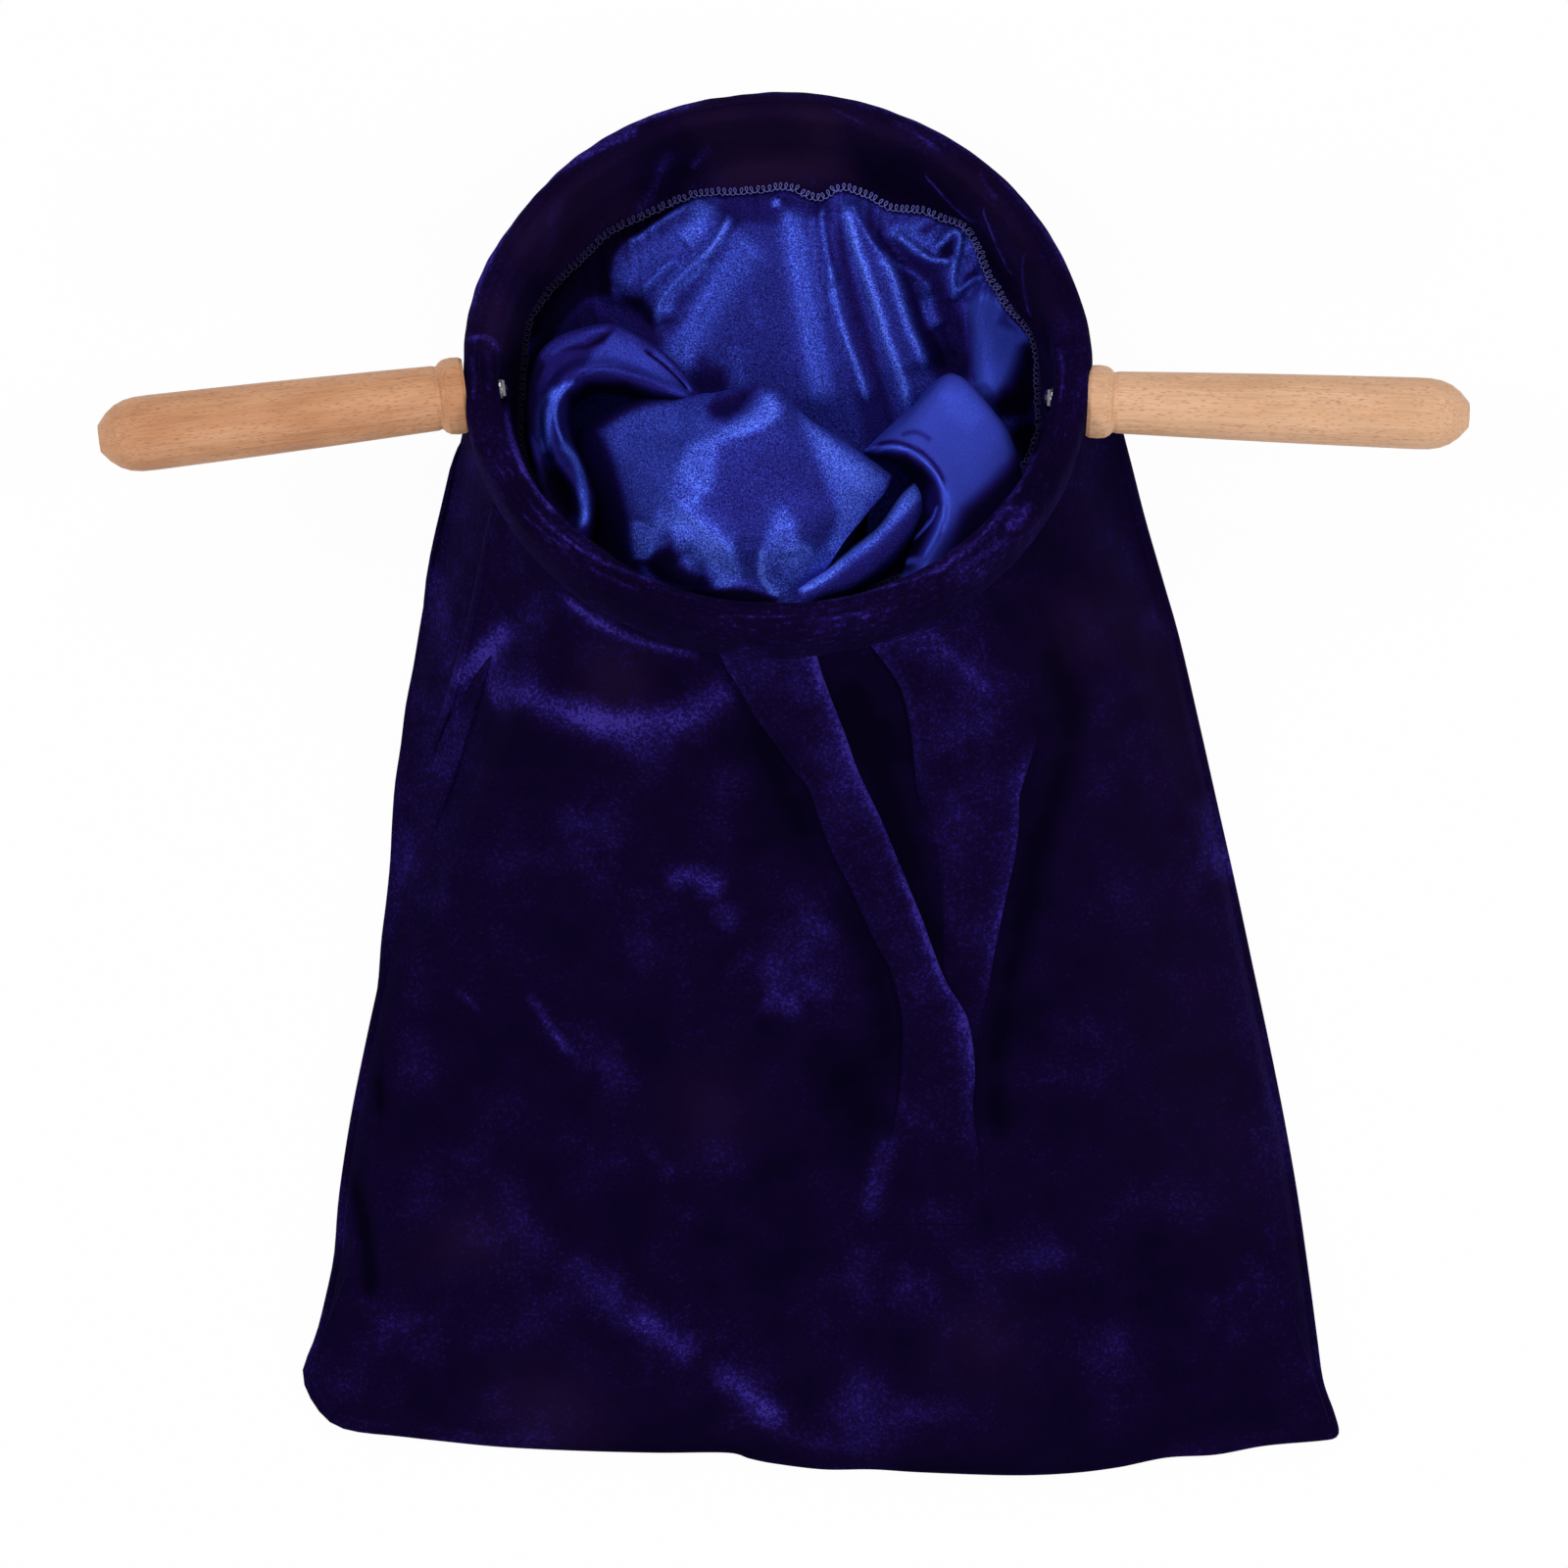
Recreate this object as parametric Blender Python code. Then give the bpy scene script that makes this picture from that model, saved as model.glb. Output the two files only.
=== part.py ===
# Offertory bag: a velvet bag on a covered wooden hoop, with a satin lining and two turned handles.
# It lies on its back on a table, with the near side of the hoop propped up by the bunched cloth.
# Metres. +Z is up, +X runs from the left handle to the right one, +Y from the hem to the mouth.

import math

import bmesh
import bpy
import numpy as np
from mathutils import Matrix, Vector

# Rim: a flat wooden hoop inside a roll of velvet
RIM_TILT = math.radians(25.9)
RIM_CENTRE_X = -0.00245
RIM_CENTRE_Y = 0.1358
CASING_OUTER_RADIUS = 0.1025
CASING_WIDTH = 0.012
CASING_HEIGHT = 0.020
CASING_ROUNDING = 0.005
HOOP_THICKNESS = 0.004
HOOP_HEIGHT = 0.012
HOOP_COVER = 0.0040
HOOP_BELOW_TOP = 0.0070
HOOP_ROOM = 0.0004

# Cloth
VELVET = 0.0026
FACING_THICKNESS = 0.0022
SATIN = 0.0008
FACING_DEPTH = 0.020
FACING_LEAN = math.radians(25)
FACING_BEND = 0.0060
SEAM_BEAD_RADIUS = 0.0015
CLOTH_GAP = 0.0004
RIM_ABOVE_PANEL = 0.0048

# Flat outline of the bag on the table
HEM_LEFT = (-0.1590, -0.2150)
HEM_RIGHT = (0.1870, -0.2200)
HEM_SAG = 0.0120
LEFT_SHOULDER_OUT = 0.00355
LEFT_SHOULDER_BELOW = 0.0178
RIGHT_SHOULDER_OUT = 0.01295
RIGHT_SHOULDER_BELOW = 0.0138
LEFT_BOW = 0.0040
RIGHT_BOW = 0.0050
LEFT_CORNER_RADIUS = 0.0160
SKIRT_INSET = 0.0035
SKIRT_DROP = 0.0025
BASE_INSET = 0.0055
SHOULDER_SHARPNESS = 8
SIDE_SHARE = 0.25

# How the upper side of the bag rises
LOFT = 0.0110
LOFT_RUN = 0.0180
TENT_RUN = 0.1500
TENT_SHARE = 0.85
TENT_POWER = 1.5
ROW_CROWDING = 1.25

# Pleat that forks below the rim, as (x, y) along each arm and down to the trunk's end
PLEAT_LEFT_ARM = ((-0.004, 0.030), (0.012, -0.012), (0.035, -0.055))
PLEAT_RIGHT_ARM = ((0.062, 0.030), (0.062, -0.012), (0.053, -0.055))
PLEAT_TRUNK = ((0.046, -0.075), (0.050, -0.110), (0.045, -0.150))
PLEAT_WIDTH = 0.0110
PLEAT_HEIGHT = 0.0060
PLEAT_FADE_BELOW_RIM = 0.0200
PLEAT_FADE_ABOVE_HEM = 0.0400

# Satin lining
LINING_INSET = 0.0140
LINING_LOFT = 0.0080
LINING_LOFT_RUN = 0.0260
LINING_FLARE = 0.0030
LINING_TURN_IN = 0.0060
LINING_TUCK = 0.0030
LINING_SIDE_RISE = 0.0060
LINING_SIDE_SET_BACK = 0.0040
LINING_SIDE_SPREAD = 1.03
BILLOW_RISE = 0.0090
BILLOW_TOP_RUN = 0.0140
BILLOW_CREST = 0.0100
BILLOW_RIDGE_Y = RIM_CENTRE_Y - 0.0138
BILLOW_RIDGE_Z = 0.0660
BILLOW_FRONT_Y = RIM_CENTRE_Y - 0.0048
BILLOW_FRONT_Z = 0.0500
BILLOW_FOOT_Y = RIM_CENTRE_Y - 0.0178
BILLOW_FOOT_Z = 0.0230
BILLOW_NARROWING = (0.95, 0.88, 0.86, 0.88)
BILLOW_SPREAD = math.radians(38)
THROAT_Y = RIM_CENTRE_Y - 0.0458

# Handles, one screw each
LEFT_HANDLE_LENGTH = 0.1200
RIGHT_HANDLE_LENGTH = 0.1245
HANDLE_LEVEL = -0.0030
COLLAR_RADIUS = 0.0120
COLLAR_WIDTH = 0.0085
COLLAR_ROOM = 0.0006
GROOVE_RADIUS = 0.0098
GROOVE_WIDTH = 0.0010
GROOVE_SLOPE = 0.0006
GRIP_START_RADIUS = 0.0101
GRIP_END_RADIUS = 0.0117
GRIP_SWELL = 0.0002
NOSE_LENGTH = 0.0175
NOSE_TIP_RADIUS = 0.0042
SEAT_DEPTH = 0.0010
SEAT_GAP = 0.0003
SCREW_RADIUS = 0.0020
SCREW_LENGTH = 0.0420
SCREW_POINT = 0.0040
SCREW_ROOM = 0.0010
SCREW_HOLE_RADIUS = 0.0024
SCREW_HEAD_RADIUS = 0.0040
SCREW_HEAD_HEIGHT = 0.0024
WASHER_RADIUS = 0.0050
WASHER_THICKNESS = 0.0008
WASHER_SINK = 0.0006
# side: where on the rim, which way it points, length, thickness beside the plain handle's
HANDLES = {
    "left": (math.radians(184.6), math.radians(187.9), LEFT_HANDLE_LENGTH, 1.05),
    "right": (math.radians(-6.0), math.radians(-2.4), RIGHT_HANDLE_LENGTH, 1.00),
}

# Facets
RIM_SEGMENTS = 56
CLOTH_COLUMNS = 56
FACING_ROWS = 4
FRONT_ROWS = 15
LINING_ROWS = 19
CORNER_FACETS = 3
TURNED_SEGMENTS = 24
SCREW_SEGMENTS = 12
SEAM_SIDES = 6

CASING_INNER_RADIUS = CASING_OUTER_RADIUS - CASING_WIDTH
BASE_RADIUS = CASING_OUTER_RADIUS - BASE_INSET
LEFT_SHOULDER = (RIM_CENTRE_X - CASING_OUTER_RADIUS - LEFT_SHOULDER_OUT, RIM_CENTRE_Y - LEFT_SHOULDER_BELOW)
RIGHT_SHOULDER = (RIM_CENTRE_X + CASING_OUTER_RADIUS + RIGHT_SHOULDER_OUT, RIM_CENTRE_Y - RIGHT_SHOULDER_BELOW)
CASING_BOTTOM = -CASING_HEIGHT / 2
HOOP_RADIUS = CASING_OUTER_RADIUS - HOOP_COVER - HOOP_THICKNESS / 2
HOOP_LEVEL = CASING_HEIGHT / 2 - HOOP_BELOW_TOP - HOOP_HEIGHT / 2
SKIRT_RADIUS = CASING_OUTER_RADIUS - SKIRT_INSET
FACING_RADIUS = CASING_INNER_RADIUS + SKIRT_INSET
CORNER_RADIUS = CASING_OUTER_RADIUS - CASING_ROUNDING
CORNER_LEVEL = CASING_HEIGHT / 2 - CASING_ROUNDING

ACROSS = np.array([1.0, 0.0, 0.0])
AWAY = np.array([0.0, math.cos(RIM_TILT), -math.sin(RIM_TILT)])
OUT_OF_MOUTH = np.array([0.0, math.sin(RIM_TILT), math.cos(RIM_TILT)])

# The far side of the roll lies just above the back panel.
RIM_CENTRE_Z = (
    VELVET
    + RIM_ABOVE_PANEL
    + CASING_ROUNDING
    + CORNER_RADIUS * math.sin(RIM_TILT)
    + CORNER_LEVEL * math.cos(RIM_TILT)
)
RIM_CENTRE = np.array([RIM_CENTRE_X, RIM_CENTRE_Y, RIM_CENTRE_Z])


def material(name, colour, roughness, metallic=0.0):
    made = bpy.data.materials.new(name)
    made.use_nodes = True
    shader = made.node_tree.nodes["Principled BSDF"]
    shader.inputs["Base Color"].default_value = (*colour, 1.0)
    shader.inputs["Roughness"].default_value = roughness
    shader.inputs["Metallic"].default_value = metallic
    return made


def smooth_step(t):
    t = min(max(t, 0.0), 1.0)
    return t * t * (3 - 2 * t)


def rim_point(angle, radius, level):
    """A point of the rim: the angle runs from the right, over the far side, to the left."""
    spoke = math.cos(angle) * ACROSS + math.sin(angle) * AWAY
    return RIM_CENTRE + radius * spoke + level * OUT_OF_MOUTH


def rim_frame():
    """The rim's own frame: X to the right, Y to its far side, Z out of the mouth."""
    frame = Matrix.Identity(4)
    for column, axis in enumerate((ACROSS, AWAY, OUT_OF_MOUTH)):
        for row in range(3):
            frame[row][column] = axis[row]
    frame.translation = Vector(RIM_CENTRE)
    return frame


def handle_frame(side):
    """A handle's frame: its origin on the collar's face, Z along the handle."""
    where, points_to, _, _ = HANDLES[side]
    face = CASING_OUTER_RADIUS - SEAT_DEPTH + SEAT_GAP
    origin = rim_point(where, face, HANDLE_LEVEL)
    along = math.cos(points_to) * ACROSS + math.sin(points_to) * AWAY
    sideways = np.cross(OUT_OF_MOUTH, along)
    frame = Matrix.Identity(4)
    for column, axis in enumerate((OUT_OF_MOUTH, sideways, along)):
        for row in range(3):
            frame[row][column] = axis[row]
    frame.translation = Vector(origin)
    return frame


def empty(name, frame, parent=None):
    made = bpy.data.objects.new(name, None)
    bpy.context.scene.collection.objects.link(made)
    made.empty_display_size = 0.03
    made.matrix_world = frame
    bpy.context.view_layer.update()
    if parent:
        attach(made, parent)
    return made


def attach(child, parent):
    """Parents a piece without moving it."""
    bpy.context.view_layer.update()
    child.parent = parent
    child.matrix_parent_inverse = parent.matrix_world.inverted()


def piece(name, work, look, parent, frame=None, smooth=True):
    """Turns a bmesh into a named object that is carried by parent."""
    bmesh.ops.recalc_face_normals(work, faces=work.faces)
    mesh = bpy.data.meshes.new(name)
    work.to_mesh(mesh)
    work.free()
    mesh.materials.append(look)
    if smooth:
        mesh.shade_smooth()
        mesh.set_sharp_from_angle(angle=math.radians(40))
    made = bpy.data.objects.new(name, mesh)
    bpy.context.scene.collection.objects.link(made)
    if frame:
        made.matrix_world = frame
    attach(made, parent)
    return made


def turned(profile, segments, closed):
    """A solid of revolution about Z, from (radius, height) pairs; a closed profile leaves a bore."""
    work = bmesh.new()
    rings = []
    for radius, height in profile:
        if radius < 1e-6:
            rings.append([work.verts.new((0.0, 0.0, height))])
            continue
        ring = []
        for k in range(segments):
            angle = 2 * math.pi * k / segments
            ring.append(work.verts.new((radius * math.cos(angle), radius * math.sin(angle), height)))
        rings.append(ring)
    pairs = list(zip(rings, rings[1:]))
    if closed:
        pairs.append((rings[-1], rings[0]))
    for low, high in pairs:
        for k in range(segments):
            corners = [low[k % len(low)], low[(k + 1) % len(low)]]
            corners += [high[(k + 1) % len(high)], high[k % len(high)]]
            corners = list(dict.fromkeys(corners))
            if len(corners) > 2:
                work.faces.new(corners)
    return work


def sheet(rows, thickness):
    """Cloth of an even thickness round a closed ring of columns; rows run from its top edge to its foot."""
    middle = np.array(rows)
    along = np.gradient(middle, axis=0)
    around = np.roll(middle, -1, axis=1) - np.roll(middle, 1, axis=1)
    normal = np.cross(around, along)
    normal /= np.linalg.norm(normal, axis=2, keepdims=True)
    work = bmesh.new()
    sides = []
    for shift in (-thickness / 2, thickness / 2):
        grid = middle + shift * normal
        sides.append([[work.verts.new(point) for point in row] for row in grid])
    below, above = sides
    columns = middle.shape[1]
    for k in range(columns):
        n = (k + 1) % columns
        for r in range(len(rows) - 1):
            work.faces.new((below[r][k], below[r][n], below[r + 1][n], below[r + 1][k]))
            work.faces.new((above[r][k], above[r + 1][k], above[r + 1][n], above[r][n]))
        work.faces.new((below[0][k], above[0][k], above[0][n], below[0][n]))
        work.faces.new((below[-1][k], below[-1][n], above[-1][n], above[-1][k]))
    return work


def flat_sheet(outline, low, thickness):
    """A flat piece of cloth with the given outline."""
    work = bmesh.new()
    ring = [work.verts.new((x, y, low)) for x, y in outline]
    face = work.faces.new(ring)
    grown = bmesh.ops.extrude_face_region(work, geom=[face])
    raised = [e for e in grown["geom"] if isinstance(e, bmesh.types.BMVert)]
    bmesh.ops.translate(work, verts=raised, vec=(0.0, 0.0, thickness))
    return work


def spline(points, count):
    """Evenly spaced points on a smooth curve through the given ones."""
    points = np.array(points)
    ends = [2 * points[0] - points[1], *points, 2 * points[-1] - points[-2]]
    fine = []
    for a, b, c, d in zip(ends, ends[1:], ends[2:], ends[3:]):
        for t in np.linspace(0, 1, 24, endpoint=False):
            fine.append(
                0.5 * (2 * b + (c - a) * t + (2 * a - 5 * b + 4 * c - d) * t**2 + (3 * b - a - 3 * c + d) * t**3)
            )
    fine.append(points[-1])
    fine = np.array(fine)
    steps = np.linalg.norm(np.diff(fine, axis=0), axis=1)
    run = np.concatenate([[0.0], np.cumsum(steps)])
    at = np.linspace(0, run[-1], count)
    return np.stack([np.interp(at, run, fine[:, k]) for k in range(3)], axis=1)


def side_point(shoulder, corner, bow, share):
    """A point of one side of the outline, a share of the way from the shoulder to the hem's corner."""
    x = shoulder[0] + (corner[0] - shoulder[0]) * share + bow * 4 * share * (1 - share)
    y = shoulder[1] + (corner[1] - shoulder[1]) * share
    return np.array([x, y])


def outline(angle):
    """The bag's outline on the table, in step with the rim's angle."""
    if angle <= math.pi:
        spoke = np.array([math.cos(angle), math.sin(angle) * math.cos(RIM_TILT)])
        base = np.array([RIM_CENTRE_X, RIM_CENTRE_Y]) + BASE_RADIUS * spoke
        shoulder = RIGHT_SHOULDER if angle < math.pi / 2 else LEFT_SHOULDER
        side = math.copysign(1.0, math.cos(angle))
        start = np.array([RIM_CENTRE_X + side * BASE_RADIUS, RIM_CENTRE_Y])
        flare = abs(math.cos(angle)) ** SHOULDER_SHARPNESS
        return base + (np.array(shoulder) - start) * flare
    share = (angle - math.pi) / math.pi
    if share < SIDE_SHARE:
        point = side_point(LEFT_SHOULDER, HEM_LEFT, -LEFT_BOW, share / SIDE_SHARE)
    elif share > 1 - SIDE_SHARE:
        point = side_point(RIGHT_SHOULDER, HEM_RIGHT, RIGHT_BOW, (1 - share) / SIDE_SHARE)
    else:
        along = (share - SIDE_SHARE) / (1 - 2 * SIDE_SHARE)
        point = np.array(HEM_LEFT) * (1 - along) + np.array(HEM_RIGHT) * along
        point[1] -= HEM_SAG * math.sin(math.pi * along**1.6)
    return rounded_corner(point)


def rounded_corner(point):
    """Rounds the outline's left corner off."""
    centre = np.array(HEM_LEFT) + LEFT_CORNER_RADIUS
    out = point - centre
    if out[0] >= 0 or out[1] >= 0:
        return point
    return centre + out * max(abs(out)) / np.linalg.norm(out)


def inset_outline(angle, inset):
    """The outline, moved in by a distance towards the line down the middle of the bag."""
    step = 1e-4
    ahead = outline((angle + step) % (2 * math.pi))
    behind = outline((angle - step) % (2 * math.pi))
    run = ahead - behind
    inward = np.array([-run[1], run[0]]) / np.linalg.norm(run)
    return outline(angle) + inset * inward


def distance_to_line(x, y, line):
    best = math.inf
    for (ax, ay), (bx, by) in zip(line, line[1:]):
        run = (bx - ax) ** 2 + (by - ay) ** 2
        share = min(max(((x - ax) * (bx - ax) + (y - ay) * (by - ay)) / run, 0.0), 1.0)
        best = min(best, math.hypot(x - ax - share * (bx - ax), y - ay - share * (by - ay)))
    return best


def pleat(x, y):
    """How far the forked pleat lifts the cloth."""
    lift = 0.0
    for arm in (PLEAT_LEFT_ARM + PLEAT_TRUNK, PLEAT_RIGHT_ARM + PLEAT_TRUNK):
        lift = max(lift, math.exp(-((distance_to_line(x, y, arm) / PLEAT_WIDTH) ** 2)))
    return PLEAT_HEIGHT * lift


def facing_path(angle):
    """The facing from the roll's underside to its lower edge: it leans in, and flattens on the table."""
    point = rim_point(angle, FACING_RADIUS, CASING_BOTTOM - CLOTH_GAP)
    inward = np.array([-math.cos(angle), -math.sin(angle) * math.cos(RIM_TILT), 0.0])
    inward /= np.linalg.norm(inward)
    floor = VELVET + CLOTH_GAP + SATIN + FACING_THICKNESS / 2
    path = [point]
    small_steps = 8
    step = FACING_DEPTH / (FACING_ROWS - 1) / small_steps
    for _ in range((FACING_ROWS - 1) * small_steps):
        fall = min(math.cos(FACING_LEAN), (point[2] - floor) / FACING_BEND)
        point = point + step * (math.sqrt(1 - fall**2) * inward - np.array([0.0, 0.0, fall]))
        path.append(point)
    return path[::small_steps], (path[-1] - path[-2]) / step


def seam_point(angle, beyond):
    """A point that far past the facing's lower edge."""
    path, direction = facing_path(angle)
    return path[-1] + beyond * direction


def lining_start(angle):
    """Where the lining leaves the seam, and which way it goes from there."""
    _, direction = facing_path(angle)
    return seam_point(angle, 2 * SEAM_BEAD_RADIUS + 3 * CLOTH_GAP), direction


def front_path(angle):
    """The upper side of the bag, from the rim down to the outline."""
    hem = rim_point(angle, SKIRT_RADIUS, CASING_BOTTOM - CLOTH_GAP)
    foot = outline(angle)
    edge = VELVET + CLOTH_GAP + VELVET / 2
    top = hem - min(SKIRT_DROP, (hem[2] - edge) / 2) * OUT_OF_MOUTH
    reach = np.linalg.norm(foot - top[:2])
    tent = min(TENT_SHARE * reach, TENT_RUN)
    path = [hem]
    for share in np.linspace(0, 1, FRONT_ROWS - 1) ** ROW_CROWDING:
        x, y = top[:2] + (foot - top[:2]) * share
        gone = share * reach
        tented = max(0.0, 1 - gone / tent) ** TENT_POWER
        rise = LOFT * (1 - math.exp(-(reach - gone) / LOFT_RUN))
        fade = smooth_step(gone / PLEAT_FADE_BELOW_RIM) * smooth_step((reach - gone) / PLEAT_FADE_ABOVE_HEM)
        z = edge + rise * (1 - tented) + (top[2] - edge) * tented + pleat(x, y) * fade
        path.append(np.array([x, y, z]))
    return path


def lining_path(angle):
    """The upper side of the lining, from the seam to its own outline inside the bag."""
    seam, direction = lining_start(angle)
    floor = VELVET + 2 * CLOTH_GAP + SATIN + SATIN / 2
    foot = np.array([*lining_outline(angle), floor])
    if math.sin(angle) >= 0:
        return spline([seam, (seam + foot) / 2, foot], LINING_ROWS)
    weight = smooth_step(-math.asin(math.sin(angle)) / BILLOW_SPREAD)
    crest_x, ridge_x, front_x, foot_x = (seam[0] * share for share in BILLOW_NARROWING)
    crest_y = (seam[1] + BILLOW_RIDGE_Y + BILLOW_TOP_RUN) / 2
    tuck = seam + LINING_TUCK * direction
    billow = [
        tuck,
        seam + np.array([0.0, BILLOW_TOP_RUN, BILLOW_RISE]),
        np.array([crest_x, crest_y, BILLOW_RIDGE_Z + BILLOW_CREST]),
        np.array([ridge_x, BILLOW_RIDGE_Y, BILLOW_RIDGE_Z]),
        np.array([front_x, BILLOW_FRONT_Y, BILLOW_FRONT_Z]),
        np.array([foot_x, BILLOW_FOOT_Y, BILLOW_FOOT_Z]),
    ]
    flat_start = np.array([crest_x, THROAT_Y, floor + LINING_LOFT])
    reach = np.linalg.norm(foot[:2] - flat_start[:2])
    run = []
    for share in (0.3, 0.6, 0.8, 0.9, 0.96):
        spot = flat_start + (foot - flat_start) * share
        spot[2] = floor + LINING_LOFT * (1 - math.exp(-(1 - share) * reach / LINING_LOFT_RUN))
        run.append(spot)
    side_foot = np.array(
        [seam[0] * LINING_SIDE_SPREAD, seam[1] - LINING_SIDE_SET_BACK, floor + LINING_SIDE_RISE]
    )
    plain = [tuck + (side_foot - tuck) * share for share in (0.0, 0.25, 0.45, 0.65, 0.85, 1.0)]
    plain_run = []
    for share in (0.1, 0.3, 0.55, 0.7, 0.85, 0.95):
        spot = side_foot + (foot - side_foot) * share
        spot[2] = floor + LINING_SIDE_RISE * (1 - share)
        plain_run.append(spot)
    route = [seam]
    for full, flat in zip(billow + [flat_start, *run], plain + plain_run):
        route.append(full * weight + flat * (1 - weight))
    return spline([*route, foot], LINING_ROWS)


def lining_outline(angle):
    """The lining's outline: inside the seam round the mouth, inside the bag's sides and hem below."""
    seam, _ = lining_start(angle)
    if math.sin(angle) >= 0:
        outward = np.array([math.cos(angle), math.sin(angle) * math.cos(RIM_TILT)])
        far = smooth_step((math.sin(angle) - 0.25) / 0.35)
        shift = LINING_FLARE * (1 - far) - LINING_TURN_IN * far
        return seam[:2] + shift * outward / np.linalg.norm(outward)
    below = inset_outline(angle, LINING_INSET)
    side = seam[:2] + LINING_FLARE * np.array([math.cos(angle), 0.0])
    weight = smooth_step(-math.asin(math.sin(angle)) / math.radians(14))
    return below * weight + side * (1 - weight)


def angles(count):
    return [2 * math.pi * k / count for k in range(count)]


def columns_to_rows(paths):
    return np.array(paths).transpose(1, 0, 2)


def ring(inner, outer, low, high, segments):
    """A plain ring with a square section."""
    profile = [(inner, low), (outer, low), (outer, high), (inner, high)]
    return turned(profile, segments, closed=True)


def cutter(name, work, frame):
    """A closed body that only cuts others."""
    bmesh.ops.recalc_face_normals(work, faces=work.faces)
    mesh = bpy.data.meshes.new(name)
    work.to_mesh(mesh)
    work.free()
    made = bpy.data.objects.new(name, mesh)
    bpy.context.scene.collection.objects.link(made)
    made.matrix_world = frame
    made.hide_render = True
    made.display_type = "WIRE"
    return made


def cut(target, tool):
    change = target.modifiers.new(tool.name, "BOOLEAN")
    change.operation = "DIFFERENCE"
    change.solver = "EXACT"
    change.object = tool


def casing_profile():
    """The roll's section, as (radius, level) pairs."""
    middle = CASING_OUTER_RADIUS - CASING_WIDTH / 2
    half_width = CASING_WIDTH / 2 - CASING_ROUNDING
    half_height = CASING_HEIGHT / 2 - CASING_ROUNDING
    profile = []
    for corner_x, corner_y, start in ((1, -1, -90), (1, 1, 0), (-1, 1, 90), (-1, -1, 180)):
        for k in range(CORNER_FACETS + 1):
            turn = math.radians(start + 90 * k / CORNER_FACETS)
            radius = middle + corner_x * half_width + CASING_ROUNDING * math.cos(turn)
            level = corner_y * half_height + CASING_ROUNDING * math.sin(turn)
            profile.append((radius, level))
    return profile


def make_rim(looks, carrier):
    frame = rim_frame()
    low, high = HOOP_LEVEL - HOOP_HEIGHT / 2, HOOP_LEVEL + HOOP_HEIGHT / 2
    inner, outer = HOOP_RADIUS - HOOP_THICKNESS / 2, HOOP_RADIUS + HOOP_THICKNESS / 2
    hoop = piece("hoop", ring(inner, outer, low, high, RIM_SEGMENTS), looks["hoop"], carrier, frame)
    casing = piece(
        "rim_casing", turned(casing_profile(), RIM_SEGMENTS, closed=True), looks["velvet"], carrier, frame
    )
    room = ring(inner - HOOP_ROOM, outer + HOOP_ROOM, low - HOOP_ROOM, high + HOOP_ROOM, RIM_SEGMENTS)
    cut(casing, cutter("hoop_room", room, frame))
    for side in HANDLES:
        drill = cutter(f"stepped_drill_{side}", stepped_drill(side), handle_frame(side))
        cut(hoop, drill)
        cut(casing, drill)


def stepped_drill(side):
    """What one handle takes out of the rim: the washer's seat, the screw's hole and the collar's seat."""
    washer_room = WASHER_RADIUS + CLOTH_GAP
    collar_room = collar_radius(side) + COLLAR_ROOM
    inner_face = washer_seat()
    profile = [
        (0.0, inner_face - CASING_WIDTH),
        (washer_room, inner_face - CASING_WIDTH),
        (washer_room, inner_face),
        (SCREW_HOLE_RADIUS, inner_face),
        (SCREW_HOLE_RADIUS, -SEAT_GAP),
        (collar_room, -SEAT_GAP),
        (collar_room, CASING_WIDTH),
        (0.0, CASING_WIDTH),
    ]
    return turned(profile, SCREW_SEGMENTS * 2, closed=False)


def collar_radius(side):
    return COLLAR_RADIUS * HANDLES[side][3]


def washer_seat():
    """Where the washer's seat in the velvet lies, along the handle from its collar's face."""
    return -(CASING_WIDTH - SEAT_DEPTH + SEAT_GAP) + WASHER_SINK


def make_handle(side, looks, carrier):
    """A turned handle: a collar bead, a groove, a slowly swelling grip and a rounded nose."""
    _, _, length, stout = HANDLES[side]
    bore_end = SCREW_LENGTH + washer_seat() - WASHER_THICKNESS + SCREW_ROOM
    profile = [(0.0, bore_end), (SCREW_HOLE_RADIUS, bore_end), (SCREW_HOLE_RADIUS, 0.0)]
    bead = [(0.0, 0.93), (0.14, 0.985), (0.45, 1.0), (0.75, 0.97), (0.92, 0.90), (1.0, 0.83)]
    for share, wide in bead:
        profile.append((COLLAR_RADIUS * wide * stout, COLLAR_WIDTH * share))
    groove = COLLAR_WIDTH + GROOVE_SLOPE
    profile.append((GROOVE_RADIUS * stout, groove))
    grip_start, grip_end = groove + GROOVE_WIDTH, length - NOSE_LENGTH
    for share in (0.0, 0.2, 0.4, 0.6, 0.8, 1.0):
        swell = GRIP_START_RADIUS + (GRIP_END_RADIUS - GRIP_START_RADIUS) * share
        swell += GRIP_SWELL * math.sin(math.pi * share)
        profile.append((swell * stout, grip_start + (grip_end - grip_start) * share))
    for k in range(1, 6):
        turn = k / 5
        radius = NOSE_TIP_RADIUS + (GRIP_END_RADIUS - NOSE_TIP_RADIUS) * (1 - turn**2.6)
        profile.append((radius * stout, grip_end + (length - grip_end) * turn**0.8))
    profile.append((0.0, length))
    piece(f"handle_{side}", turned(profile, TURNED_SEGMENTS, False), looks["beech"], carrier, handle_frame(side))


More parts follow.
